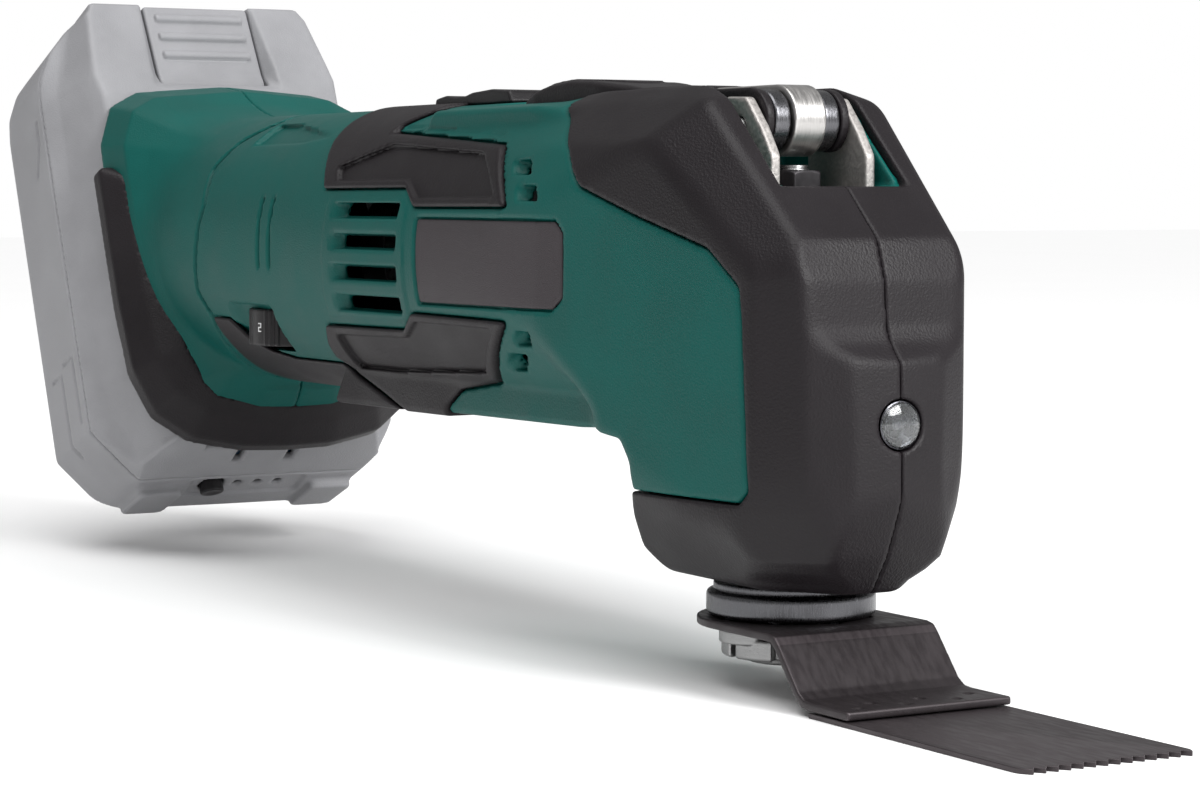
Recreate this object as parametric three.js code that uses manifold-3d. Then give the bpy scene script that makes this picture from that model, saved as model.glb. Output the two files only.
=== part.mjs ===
// Cordless oscillating multi tool with a slide-on battery pack and a saw blade, in millimetres.
// +X points forward to the blade, +Z up. The spindle axis is the line x = 0, y = 0 until the very
// last step, which moves the whole tool so that its footprint is centred on the origin.
import * as THREE from 'three';
import { mergeVertices } from 'three/addons/utils/BufferGeometryUtils.js';
import Module from 'manifold-3d';

const wasm = await Module();
wasm.setup();

// ---- driving dimensions -------------------------------------------------------------------
const GAP = 0.3;                 // clearance between touching pieces
const WALL = 2.6;                // moulded housing wall
const BODY_Z = 74.8;             // height of the motor axis
const BODY_HALF_WIDTH = 32;
const BODY_HALF_HEIGHT = 32;
const BODY_POWER = 2.2;          // superellipse power of the barrel section
const BODY_REAR = -200;
const BODY_FRONT = -20;
const HEAD_BOTTOM = 17;
const PACK_TILT = THREE.MathUtils.degToRad(22);
const FOOT_PLANE = -202.4;       // distance of the battery interface plane along its own normal
const FOOT_LOW = 110;            // foot outline along the pack direction
const FOOT_HIGH = 203;
const FOOT_HALF_WIDTH = 36;
const FOOT_REST = -0.6;          // the foot's rim stops just short of the pack
const PACK_HALF_WIDTH = 41.6;
const PACK_LOW = 106;
const PACK_HIGH = 232;
const PACK_DEPTH = 49;
const FLANGE_RADIUS = 15.5;
const FLANGE_BOTTOM = 10.7;
const FLANGE_TOP = 15.2;
const PIN_CIRCLE = 13.3;         // radius of the accessory pin circle
const PLATE = 1.5;               // blade adapter sheet
const BLADE = 0.9;               // saw blade sheet
const BLADE_HALF_WIDTH = 17.2;
const BLADE_TIP = 91.6;
const TOOTH_DEPTH = 1.6;
const TOOTH_COUNT = 14;
const LEVER_AXIS = { x: -0.5, z: 98.7 };
const ROLLER_RADIUS = 6.5;
const CAM_THROW = 1.6;           // the rollers sit this far off the lever pin, so lifting it presses the bolt down
const MOTOR_RADIUS = 18.5;
const MOTOR_REAR = -132;
const MOTOR_FRONT = -74;
const ECCENTRIC_X = -23;
const ECCENTRICITY = 0.6;
const CELL_RADIUS = 9.1;
const CELL_LENGTH = 65;

// ---- finishes -----------------------------------------------------------------------------
const finish = (color, roughness, metalness) =>
  new THREE.MeshStandardMaterial({ color, roughness, metalness });
const GREEN = finish(0x1f5c53, 0.55, 0);
const BLACK = finish(0x3a3536, 0.75, 0);
const GREY = finish(0x939393, 0.5, 0);
const STEEL = finish(0xb9bcc0, 0.35, 1);
const DARK_STEEL = finish(0x3c3d40, 0.4, 1);
const BLADE_STEEL = finish(0x3b3330, 0.45, 0.9);
const CAST = finish(0xb5b2ad, 0.6, 0.8);
const BRASS = finish(0xb08d4a, 0.35, 1);
const COPPER = finish(0xa5603a, 0.4, 1);
const BOARD = finish(0x2d5a38, 0.6, 0);
const CLEAR = finish(0xe8ecee, 0.15, 0);
const CELL_WRAP = finish(0x3f78a8, 0.4, 0);

const tool = new THREE.Group();

function add(name, geometry, material) {
  const mesh = new THREE.Mesh(geometry, material);
  mesh.name = name;
  tool.add(mesh);
  return mesh;
}

// ---- solids -------------------------------------------------------------------------------
function solid(geometry) {
  const bare = geometry.clone();
  bare.deleteAttribute('normal');
  bare.deleteAttribute('uv');
  const merged = mergeVertices(bare, 1e-4);
  return new wasm.Manifold(new wasm.Mesh({
    numProp: 3,
    vertProperties: new Float32Array(merged.attributes.position.array),
    triVerts: new Uint32Array(merged.index.array),
  }));
}

function shapeOf(manifold) {
  const mesh = manifold.getMesh();
  const geometry = new THREE.BufferGeometry();
  geometry.setAttribute('position', new THREE.BufferAttribute(new Float32Array(mesh.vertProperties), 3));
  geometry.setIndex(new THREE.BufferAttribute(new Uint32Array(mesh.triVerts), 1));
  geometry.computeVertexNormals();
  return geometry;
}

const union = (...list) => list.reduce((sum, next) => sum.add(next));
const cut = (base, ...tools) => tools.reduce((rest, next) => rest.subtract(next), base);

function box(x0, x1, y0, y1, z0, z1) {
  const geometry = new THREE.BoxGeometry(x1 - x0, y1 - y0, z1 - z0);
  geometry.translate((x0 + x1) / 2, (y0 + y1) / 2, (z0 + z1) / 2);
  return geometry;
}

// Upright cylinder from z0 to z1.
function post(x, y, z0, z1, radius, sides = 24) {
  const geometry = new THREE.CylinderGeometry(radius, radius, z1 - z0, sides);
  geometry.rotateX(Math.PI / 2);
  geometry.translate(x, y, (z0 + z1) / 2);
  return geometry;
}

// Cylinder along X from x0 to x1.
function rod(x0, x1, y, z, radius, sides = 24) {
  const geometry = new THREE.CylinderGeometry(radius, radius, x1 - x0, sides);
  geometry.rotateZ(Math.PI / 2);
  geometry.translate((x0 + x1) / 2, y, z);
  return geometry;
}

// Cylinder along Y from y0 to y1.
function axle(y0, y1, x, z, radius, sides = 24) {
  const geometry = new THREE.CylinderGeometry(radius, radius, y1 - y0, sides);
  geometry.translate(x, (y0 + y1) / 2, z);
  return geometry;
}

// Ring about the vertical axis through (x, y).
function upright_ring(x, y, z0, z1, inner, outer, sides = 24) {
  const profile = [[inner, z0], [outer, z0], [outer, z1], [inner, z1], [inner, z0]];
  const geometry = new THREE.LatheGeometry(profile.map(([r, z]) => new THREE.Vector2(r, z)), sides);
  geometry.rotateX(Math.PI / 2);
  geometry.translate(x, y, 0);
  return geometry;
}

function ring_along_x(x0, x1, y, z, inner, outer, sides = 24) {
  const geometry = upright_ring(0, 0, x0, x1, inner, outer, sides);
  geometry.rotateY(Math.PI / 2);
  geometry.translate(0, y, z);
  return geometry;
}

// Outline in the XZ plane, extruded from y0 to y1.
function side_prism(points, y0, y1) {
  const shape = new THREE.Shape(points.map(([x, z]) => new THREE.Vector2(x, z)));
  const geometry = new THREE.ExtrudeGeometry(shape, { depth: y1 - y0, bevelEnabled: false });
  geometry.rotateX(Math.PI / 2);
  geometry.translate(0, y1, 0);
  return geometry;
}

// Outline in the XY plane, extruded from z0 to z1.
function plan_prism(points, z0, z1) {
  const shape = new THREE.Shape(points.map(([x, y]) => new THREE.Vector2(x, y)));
  const geometry = new THREE.ExtrudeGeometry(shape, { depth: z1 - z0, bevelEnabled: false });
  geometry.translate(0, 0, z0);
  return geometry;
}

// Outline in the YZ plane, extruded from x0 to x1.
function front_prism(points, x0, x1) {
  const shape = new THREE.Shape(points.map(([y, z]) => new THREE.Vector2(y, z)));
  const geometry = new THREE.ExtrudeGeometry(shape, { depth: x1 - x0, bevelEnabled: false });
  geometry.rotateX(Math.PI / 2);
  geometry.rotateZ(Math.PI / 2);
  geometry.translate(x0, 0, 0);
  return geometry;
}

// Closed skin through rings that all have the same number of points, turned to face outward.
function loft(rings) {
  const count = rings[0].length;
  const points = [];
  const faces = [];
  rings.forEach((ring) => ring.forEach((p) => points.push(p.x, p.y, p.z)));
  for (let r = 0; r + 1 < rings.length; r += 1) {
    for (let i = 0; i < count; i += 1) {
      const a = r * count + i;
      const b = r * count + ((i + 1) % count);
      faces.push(a, b, b + count, a, b + count, a + count);
    }
  }
  [[0, true], [rings.length - 1, false]].forEach(([r, first]) => {
    const middle = new THREE.Vector3();
    rings[r].forEach((p) => middle.add(p));
    middle.divideScalar(count);
    const centre = points.length / 3;
    points.push(middle.x, middle.y, middle.z);
    for (let i = 0; i < count; i += 1) {
      const a = r * count + i;
      const b = r * count + ((i + 1) % count);
      if (first) faces.push(centre, b, a);
      else faces.push(centre, a, b);
    }
  });
  const corner = (k) => new THREE.Vector3(points[3 * k], points[3 * k + 1], points[3 * k + 2]);
  let volume = 0;
  for (let f = 0; f < faces.length; f += 3) {
    volume += corner(faces[f]).dot(corner(faces[f + 1]).cross(corner(faces[f + 2])));
  }
  if (volume < 0) faces.reverse();
  const geometry = new THREE.BufferGeometry();
  geometry.setAttribute('position', new THREE.Float32BufferAttribute(points, 3));
  geometry.setIndex(faces);
  return geometry;
}

const power = (value, exponent) => Math.sign(value) * Math.abs(value) ** exponent;

// Superellipse ring in a plane of constant x, wound so that a loft along +X faces outward.
function body_ring(x, grow, sides = 36) {
  return Array.from({ length: sides }, (_, i) => {
    const angle = (2 * Math.PI * i) / sides;
    const y = (BODY_HALF_WIDTH + grow) * power(Math.cos(angle), 2 / BODY_POWER);
    const z = (BODY_HALF_HEIGHT + grow) * power(Math.sin(angle), 2 / BODY_POWER);
    return new THREE.Vector3(x, y, BODY_Z + z);
  });
}

// The battery frame: depth runs back from the interface plane, along runs up the pack.
function pack_point(depth, y, along) {
  const normal = FOOT_PLANE - depth;
  const c = Math.cos(PACK_TILT);
  const s = Math.sin(PACK_TILT);
  return new THREE.Vector3(c * normal - s * along, y, s * normal + c * along);
}

const PACK_MATRIX = new THREE.Matrix4().makeBasis(
  new THREE.Vector3(-Math.cos(PACK_TILT), 0, -Math.sin(PACK_TILT)),
  new THREE.Vector3(0, -1, 0),
  new THREE.Vector3(-Math.sin(PACK_TILT), 0, Math.cos(PACK_TILT)),
).setPosition(pack_point(0, 0, 0));

// Geometry drawn with x = depth, y = width, z = along, moved into the battery frame.
function in_pack(geometry) {
  geometry.applyMatrix4(PACK_MATRIX);
  return geometry;
}

// ---- housing ------------------------------------------------------------------------------
const barrel = (grow) => loft([body_ring(BODY_REAR - 12, grow), body_ring(BODY_FRONT - 12, grow)]);

// Ring of the foot in the battery frame, with the same point count as a body ring.
function foot_ring(depth, grow, sides = 36) {
  const middle = (FOOT_LOW + FOOT_HIGH) / 2;
  const half = (FOOT_HIGH - FOOT_LOW) / 2 + grow;
  return Array.from({ length: sides }, (_, i) => {
    const angle = (2 * Math.PI * i) / sides;
    const y = (FOOT_HALF_WIDTH + grow) * power(Math.cos(angle), 2 / 3.6);
    const along = middle + half * power(Math.sin(angle), 2 / 3.6);
    return pack_point(depth, y, along);
  });
}

// The flared foot: the body's ring turns and grows into the foot's ring.
function foot(grow, depth) {
  const start = body_ring(BODY_REAR + 12, grow - 0.2);
  const end = foot_ring(depth, grow);
  const rings = [];
  const steps = 5;
  for (let k = 0; k <= steps; k += 1) {
    const t = k / steps;
    const spread = t * t * (2 - t);
    rings.push(start.map((p, i) => {
      const q = end[i];
      const x = p.x + (q.x - p.x) * t;
      return new THREE.Vector3(x, p.y + (q.y - p.y) * spread, p.z + (q.z - p.z) * (0.35 * t + 0.65 * spread));
    }));
  }
  return loft(rings);
}

const HEAD_SIDE = [
  [-48, 107.8], [-8, 107.8], [0, 104.4], [26.4, 79.3], [28.9, 72], [29.5, 64], [33.7, 58], [34.8, 41.5],
  [34.8, 35], [30.3, 24.4], [25, HEAD_BOTTOM], [-10, HEAD_BOTTOM], [-16, 22], [-19.5, 29], [-22.6, 34.5],
  [-27, 39], [-36, 42], [-48, 42],
];
const HEAD_PLAN = [[-49, 32], [-40, 31.4], [21, 22.6], [34.9, 15]];
const HEAD_FRONT = [[15.4, 17], [24, 30], [31, 46], [32.5, 60], [32.5, 85], [26.5, 96], [17.5, 104], [11, 108]];

// Moves every corner of a closed outline inward by the given distance.
function inset(points, distance) {
  const clockwise = THREE.ShapeUtils.isClockWise(points.map(([x, y]) => new THREE.Vector2(x, y)));
  const sign = clockwise ? -1 : 1;
  return points.map((point, i) => {
    const before = points[(i + points.length - 1) % points.length];
    const after = points[(i + 1) % points.length];
    const a = new THREE.Vector2(point[0] - before[0], point[1] - before[1]).normalize();
    const b = new THREE.Vector2(after[0] - point[0], after[1] - point[1]).normalize();
    const normal = new THREE.Vector2(-a.y - b.y, a.x + b.x).normalize().multiplyScalar(sign);
    const reach = distance / Math.max(0.4, normal.dot(new THREE.Vector2(-a.y, a.x).multiplyScalar(sign)));
    return [point[0] + normal.x * reach, point[1] + normal.y * reach];
  });
}

const mirrored = (half) => [...half, ...half.map(([a, b]) => [-a, b]).reverse()];
const plan_outline = [...HEAD_PLAN, ...HEAD_PLAN.map(([x, y]) => [x, -y]).reverse()];

function head(inward) {
  const side = side_prism(inset(HEAD_SIDE, inward), -40, 40);
  const plan = plan_prism(inset(plan_outline, inward), 0, 120);
  const front = front_prism(inset(mirrored(HEAD_FRONT), inward), -70, 50);
  return solid(side).intersect(solid(plan)).intersect(solid(front));
}

const outer = union(solid(barrel(0)), solid(foot(0, FOOT_REST)), head(0));
const inner = union(solid(barrel(-WALL)), solid(foot(-WALL, 4)), head(WALL));

// Lever recess in the top of the head, open to the front above the nut, and the channel behind it.
const RECESS = { half: 12.4, front: 30, step: -22, rear: -90.5, deck: 88.4, floor: 101.6 };
const recess = union(
  solid(box(RECESS.step, RECESS.front, -RECESS.half, RECESS.half, RECESS.deck, 125)),
  solid(box(RECESS.rear, RECESS.step + 2, -RECESS.half, RECESS.half, RECESS.floor, 125)),
);
const channel_tray = solid(box(RECESS.rear - 1.4, RECESS.step, -15, 15, RECESS.floor - 1.8, 125));
const nut_tray = cut(
  solid(box(RECESS.step - 1.8, RECESS.front, -15, 15, RECESS.deck - 1.8, 125)),
  solid(box(-9.4, 10.4, -11.2, 11.2, 80, 95)),
);
const DIAL = { x: -177, y: -17.4, z: 57, radius: 12, window: 11.5 };
const spindle_hole = solid(post(0, 0, 10, 25, 10));
const led_hole = solid(rod(25, 40, 0, 47.2, 4.6, 20));
const dial_window = solid(box(
  DIAL.x - DIAL.window, DIAL.x + DIAL.window, -40, -10, DIAL.z - 4.6, DIAL.z + 4.6,
));
const switch_window = solid(box(-122, -94, -3.6, 3.6, 100, 115));

// Four long slots beside the motor and four small openings at the gears, on both sides.
const LONG_VENTS = { rear: -126.6, front: -98.6, heights: [64.3, 70.7, 77.2, 83.7], half: 1.3 };
const SMALL_VENTS = [
  [[-54, 93.6], [-48.1, 93.6], [-45.3, 90.7], [-51, 90.7]],
  [[-47.6, 88.8], [-41.8, 88.6], [-39.2, 85.7], [-45, 85.7]],
  [[-48.6, 61], [-42.8, 61], [-46.3, 58.3], [-52, 58.3]],
  [[-56.4, 56.3], [-50.8, 56.3], [-55.2, 53.1], [-61, 53.1]],
];

function vents() {
  const list = [];
  for (let side = -1; side <= 1; side += 2) {
    const near = Math.min(side * 20, side * 42);
    const { rear, front, half } = LONG_VENTS;
    LONG_VENTS.heights.forEach((z) => {
      list.push(solid(box(rear, front, near, near + 22, z - half, z + half)));
    });
    SMALL_VENTS.forEach((points) => list.push(solid(side_prism(points, near, near + 22))));
  }
  return list;
}

// The moulded green outline of the head side, ahead of which the black cover begins.
const GREEN_SIDE = [
  [-300, 150], [-50, 150], [-47, 100], [-24, 88], [-8, 83], [9, 76.5], [17, 70], [20.4, 66], [20.4, 38],
  [17, 34.8], [-30, 34.4], [-60, 10], [-300, -20],
];
const green_zone = solid(side_prism(GREEN_SIDE, -60, 60));
const green_zone_small = solid(side_prism(inset(GREEN_SIDE, GAP), -60, 60));

// Screw bosses join the two halves; the screws enter from the right.
const SCREWS = [[-160, 90], [-40.5, 91], [-40, 52], [-214, 60]];
const BOSS_RADIUS = 3.8;
const SCREW_RADIUS = 1.5;
const HEAD_SEAT = 21;            // the screw head rests this far out from the seam

function bosses() {
  return union(...SCREWS.map(([x, z]) => solid(axle(-45, 45, x, z, BOSS_RADIUS, 14))));
}

function screw_holes() {
  return SCREWS.flatMap(([x, z]) => [
    solid(axle(-13, 40, x, z, SCREW_RADIUS + GAP, 12)),
    solid(axle(HEAD_SEAT - 2, 60, x, z, 3.5, 14)),
  ]);
}

function shells() {
  const openings = [recess, spindle_hole, led_hole, dial_window, switch_window, ...vents()];
  const skin_walls = cut(outer, inner);
  const walls = cut(skin_walls.add(channel_tray.intersect(outer)), ...openings);
  const head_walls = cut(union(skin_walls, channel_tray.add(nut_tray).intersect(outer)), ...openings);
  const left_side = solid(box(-400, 200, -100, -GAP / 2, -100, 300));
  const right_side = solid(box(-400, 200, GAP / 2, 100, -100, 300));
  const green = cut(union(walls.intersect(green_zone_small), bosses().intersect(outer)), ...screw_holes());
  add('housing_left', shapeOf(green.intersect(left_side)), GREEN);
  add('housing_right', shapeOf(green.intersect(right_side)), GREEN);
  const black = cut(head_walls, green_zone);
  add('head_cover_left', shapeOf(black.intersect(left_side)), BLACK);
  add('head_cover_right', shapeOf(black.intersect(right_side)), BLACK);
}

function screws() {
  SCREWS.forEach(([x, z], i) => {
    const shank = solid(axle(-11, HEAD_SEAT - 1.4, x, z, SCREW_RADIUS, 10));
    const top = solid(axle(HEAD_SEAT - 1.6, HEAD_SEAT + 0.8, x, z, 3, 12));
    add(`housing_screw_${i + 1}`, shapeOf(shank.add(top)), DARK_STEEL);
  });
}

// ---- soft grips, trims and plates on the outside of the shells --------------------------------
const skin = (from, to, sides = 36) => cut(
  solid(loft([body_ring(BODY_REAR - 20, to, sides), body_ring(BODY_FRONT, to, sides)])),
  solid(loft([body_ring(BODY_REAR - 21, from, sides), body_ring(BODY_FRONT + 1, from, sides)])),
);

const GRIP_UPPER = [
  [-136.8, 88.2], [-141.3, 93.4], [-146, 98.5], [-148.5, 103], [-149, 115], [-131, 115], [-130, 105],
  [-119.8, 100.6], [-90, 98.4], [-64.4, 96.8], [-51.6, 84.5], [-91.6, 84.4], [-97.3, 88.3],
];
const GRIP_LOWER = [
  [-139.4, 59], [-157.4, 45], [-161, 36], [-127, 36], [-127.6, 45.6], [-72.1, 49.7], [-53.8, 62.6],
  [-94.1, 63], [-100, 59.4],
];
const LABEL = [[-90, 65.1], [-35, 65.3], [-31.8, 67.6], [-31.6, 79.8], [-34, 82.1], [-90, 82.3]];
const BELLY_TRIM = [[-205, 62], [-199, 62], [-190, 54.2], [-182, 50.6], [-150, 48.6], [-150, 40], [-180, 40.4], [-192, 46]];

function overlays() {
  const neighbours = [head(-GAP), solid(foot(GAP, FOOT_REST))];
  const pad = cut(skin(GAP, 1.6), ...neighbours);
  const badge = cut(skin(GAP, 1.0), ...neighbours);
  for (let side = -1; side <= 1; side += 2) {
    const hand = side < 0 ? 'left' : 'right';
    const y0 = side < 0 ? -60 : 0.4;
    const y1 = side < 0 ? -0.4 : 60;
    const zone = (points, layer) => layer.intersect(solid(side_prism(points, y0, y1)));
    add(`grip_upper_${hand}`, shapeOf(zone(GRIP_UPPER, pad)), BLACK);
    add(`grip_lower_${hand}`, shapeOf(zone(GRIP_LOWER, pad).add(zone(BELLY_TRIM, badge))), BLACK);
    add(`side_plate_${hand}`, shapeOf(zone(LABEL, badge)), BLACK);
  }
}

// The rubber bumper wraps the lower two thirds of the foot.
function bumper() {
  const half = [[0, 107.4], [12, 107.8], [25, 110.6], [33.5, 117], [37.6, 128], [38.6, 145], [38.6, 181]];
  const outline = [...half, ...half.map(([y, a]) => [-y, a]).reverse().slice(0, -1)];
  const block = solid(in_pack(front_prism(outline, -12, -0.6)));
  add('foot_bumper', shapeOf(cut(block, solid(foot(GAP, FOOT_REST + 0.1)), solid(barrel(GAP)))), BLACK);
}

// ---- battery mounting in the foot -------------------------------------------------------------
const TONGUE = { half: 17, neck: 13.5, low: 124, high: 188, depth: 5.6 };
const CONTACT_Y = 7;

function pack_box(depth0, depth1, y0, y1, along0, along1) {
  return in_pack(box(depth0, depth1, y0, y1, along0, along1));
}

function foot_parts() {
  const web = solid(foot(-WALL - GAP, 4)).intersect(solid(pack_box(-6.5, -0.9, -60, 60, 90, 220)));
  const neck = solid(pack_box(-1.5, 3.4, -TONGUE.neck, TONGUE.neck, TONGUE.low, TONGUE.high));
  const head_plate = solid(pack_box(3.2, TONGUE.depth, -TONGUE.half, TONGUE.half, TONGUE.low, TONGUE.high));
  const pockets = [-1, 1].map((side) => solid(
    pack_box(-20, 20, side * CONTACT_Y - 0.8, side * CONTACT_Y + 0.8, 149.7, 163.3)));
  add('rail_plate', shapeOf(cut(union(web, neck, head_plate), ...pockets)), BLACK);
  const blades = [-1, 1].map((side) => solid(
    pack_box(-9.5, 12.6, side * CONTACT_Y - 0.5, side * CONTACT_Y + 0.5, 150, 163)));
  const carrier = solid(pack_box(-12.5, -9, -CONTACT_Y - 3, CONTACT_Y + 3, 148, 165));
  add('tool_contacts', shapeOf(union(carrier, ...blades)), BRASS);
}

// ---- battery pack ------------------------------------------------------------------------------
// One ring of the pack outline at a given depth, with chamfered corners.
function pack_ring(depth, low_half, low, half, low_cut, high_cut, high_half, high, thin = 0) {
  const side = [
    [low_half - thin / 2, low + thin], [half - thin, low + low_cut + thin / 2],
    [half - thin, high - high_cut - thin / 2], [high_half - thin / 2, high - thin],
  ];
  const all = [...side, ...side.map(([y, a]) => [-y, a]).reverse()];
  return all.map(([y, along]) => pack_point(depth, y, along));
}

const PACK_SPLIT = 20;
const pack_front_skin = () => loft([
  pack_ring(0, 24, 112, 34, 10, 10, 26, 206),
  pack_ring(8, 26, 109.6, 36.5, 11, 9, 27, PACK_HIGH),
  pack_ring(15, 28, 108, 38.4, 12, 9, 28, PACK_HIGH),
  pack_ring(PACK_SPLIT, 30, PACK_LOW, PACK_HALF_WIDTH, 14, 9, 31, PACK_HIGH),
]);
const pack_rear_skin = (thin, front, back) => loft([
  pack_ring(front, 30, PACK_LOW, PACK_HALF_WIDTH, 14, 9, 31, PACK_HIGH, thin),
  pack_ring(back - 5, 30, PACK_LOW, PACK_HALF_WIDTH, 14, 9, 31, PACK_HIGH, thin),
  pack_ring(back, 27, PACK_LOW + 3, PACK_HALF_WIDTH - 4, 13, 9, 28, PACK_HIGH - 4, thin),
]);
const PACK_WALL = 2.2;
const CHARGE = { depth: 26, button: 9 };
const LATCH_HALF = 14.4;

function pack() {
  const channel = [
    solid(pack_box(-2, 3.9, -TONGUE.neck - 0.5, TONGUE.neck + 0.5, 90, TONGUE.high + 0.5)),
    solid(pack_box(2.8, TONGUE.depth + 0.5, -TONGUE.half - 0.5, TONGUE.half + 0.5, 90, TONGUE.high + 0.5)),
    ...[-1, 1].map((side) => solid(
      pack_box(0, 13.2, side * CONTACT_Y - 1.2, side * CONTACT_Y + 1.2, 90, 164))),
  ];
  const front_cavity = solid(loft([
    pack_ring(9.2, 26, 109, 36.5, 11, 9, 27, PACK_HIGH, 3),
    pack_ring(PACK_SPLIT + 1, 29, PACK_LOW, PACK_HALF_WIDTH, 14, 9, 31, PACK_HIGH, 3),
  ]));
  const latch_well = union(
    solid(pack_box(-3, 18.5, -LATCH_HALF - 0.6, LATCH_HALF + 0.6, 191.6, 200.8)),
    solid(pack_box(3.4, 18.5, -LATCH_HALF - 0.6, LATCH_HALF + 0.6, 191.6, 250)),
    solid(pack_box(-3, 18.5, -LATCH_HALF - 0.6, LATCH_HALF + 0.6, 209, 250)),
  );
  const front = cut(solid(pack_front_skin()), front_cavity, latch_well, ...channel);
  add('pack_front_shell', shapeOf(front), GREY);

  const button_hole = solid(in_pack(post(CHARGE.depth, CHARGE.button, 90, 112, 3.3, 16)));
  const feet = [-1, 1].map((side) => solid(
    pack_box(33, 43, side * 25 - 4, side * 25 + 4, PACK_LOW - 1.6, PACK_LOW + 1)));
  const rear = cut(
    union(solid(pack_rear_skin(0, PACK_SPLIT + GAP, PACK_DEPTH)), ...feet),
    solid(pack_rear_skin(PACK_WALL, PACK_SPLIT - 1, PACK_DEPTH - PACK_WALL)), button_hole,
  );
  add('pack_rear_shell', shapeOf(rear), GREY);

  for (let k = 0; k < 5; k += 1) {
    const cell = axle(-CELL_LENGTH / 2, CELL_LENGTH / 2, 33, 123 + k * 18.9, CELL_RADIUS, 18);
    add(`cell_${k + 1}`, in_pack(cell), CELL_WRAP);
  }
  add('pack_board', pack_box(17.4, 19, -30, 30, 126, 190), BOARD);
  const clips = [-1, 1].map((side) => cut(
    solid(pack_box(9.8, 15.8, side * CONTACT_Y - 2, side * CONTACT_Y + 2, 151, 162)),
    solid(pack_box(8, 14.6, side * CONTACT_Y - 1, side * CONTACT_Y + 1, 140, 170)),
  ));
  const bridge = solid(pack_box(15.4, 17, -12, 12, 149, 164));
  add('pack_contacts', shapeOf(union(bridge, ...clips)), BRASS);
  add('charge_button', in_pack(post(CHARGE.depth, CHARGE.button, PACK_LOW - 0.9, PACK_LOW + 2.4, 3, 20)), BLACK);
}

function latch() {
  const outline = [
    [-0.2, 192.2], [-0.2, 199.6], [4.2, 200.2], [4.2, 210], [5.2, 213], [8.4, 231.4], [15, 231.4], [15, 192.2],
  ];
  const geometry = side_prism(outline, -LATCH_HALF, LATCH_HALF);
  const slope = (8.4 - 5.2) / (231.4 - 213);
  const ribs = [216.6, 222.1, 227.6].map((along) => solid(
    axle(-12, 12, 4.9 + (along - 213) * slope, along, 0.9, 8)));
  add('latch_button', in_pack(shapeOf(union(solid(geometry), ...ribs))), GREY);
}

function coil(x, y, z0, z1, radius, wire, turns, sides = 6) {
  const steps = turns * 10;
  const points = Array.from({ length: steps + 1 }, (_, i) => {
    const angle = (2 * Math.PI * i) / 10;
    return new THREE.Vector3(
      x + radius * Math.cos(angle), y + radius * Math.sin(angle), z0 + ((z1 - z0) * i) / steps);
  });
  const section = new THREE.Shape(Array.from({ length: sides }, (_, i) => new THREE.Vector2(
    wire * Math.cos((2 * Math.PI * i) / sides), wire * Math.sin((2 * Math.PI * i) / sides))));
  return new THREE.ExtrudeGeometry(section, {
    steps, bevelEnabled: false, extrudePath: new THREE.CatmullRomCurve3(points),
  });
}

function latch_spring() {
  const geometry = coil(0, 0, 0, 3, 3.2, 0.5, 3);
  geometry.rotateY(Math.PI / 2);
  geometry.translate(15.9, 0, 212);
  add('latch_spring', in_pack(geometry), STEEL);
}

// ---- motor ---------------------------------------------------------------------------------------
function motor() {
  const can = union(
    solid(ring_along_x(MOTOR_REAR, MOTOR_FRONT, 0, BODY_Z, MOTOR_RADIUS - 1.4, MOTOR_RADIUS)),
    solid(ring_along_x(MOTOR_FRONT - 2, MOTOR_FRONT, 0, BODY_Z, 4, MOTOR_RADIUS - 1)),
    solid(ring_along_x(MOTOR_REAR + 8, MOTOR_FRONT - 6, 0, BODY_Z, 14.4, MOTOR_RADIUS - 1)),
  );
  add('motor_can', shapeOf(can), STEEL);
  const cap = cut(
    solid(ring_along_x(MOTOR_REAR - 12, MOTOR_REAR - GAP, 0, BODY_Z, 3.2, MOTOR_RADIUS)),
    solid(ring_along_x(MOTOR_REAR - 9, MOTOR_REAR, 0, BODY_Z, 2, MOTOR_RADIUS - 2)),
  );
  add('motor_end_cap', shapeOf(cap), BLACK);
  add('motor_shaft', rod(MOTOR_REAR - 16, ECCENTRIC_X - 7, 0, BODY_Z, 2.5, 16), STEEL);
  add('armature_core', ring_along_x(MOTOR_REAR + 14, MOTOR_FRONT - 10, 0, BODY_Z, 2.8, 13.8), COPPER);
  add('commutator', ring_along_x(MOTOR_REAR - 7, MOTOR_REAR + 3, 0, BODY_Z, 2.8, 7), BRASS);
}

function fan() {
  const hub = solid(ring_along_x(MOTOR_FRONT + 3, MOTOR_FRONT + 5, 0, BODY_Z, 2.8, 21));
  const blades = Array.from({ length: 9 }, (_, k) => {
    const blade = box(MOTOR_FRONT + 4.5, MOTOR_FRONT + 10, -0.6, 0.6, 8, 20.6);
    blade.rotateX((2 * Math.PI * k) / 9);
    blade.translate(0, 0, BODY_Z);
    return solid(blade);
  });
  const boss = solid(ring_along_x(MOTOR_FRONT + 3, MOTOR_FRONT + 10, 0, BODY_Z, 2.8, 6, 18));
  add('cooling_fan', shapeOf(union(hub, boss, ...blades)), BLACK);
}

// ---- head mechanism -------------------------------------------------------------------------------
const BEARING_RADIUS = 11.2;
const SLEEVE = { inner: BEARING_RADIUS + GAP, outer: 13.8, low: 25, high: 82 };

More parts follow.
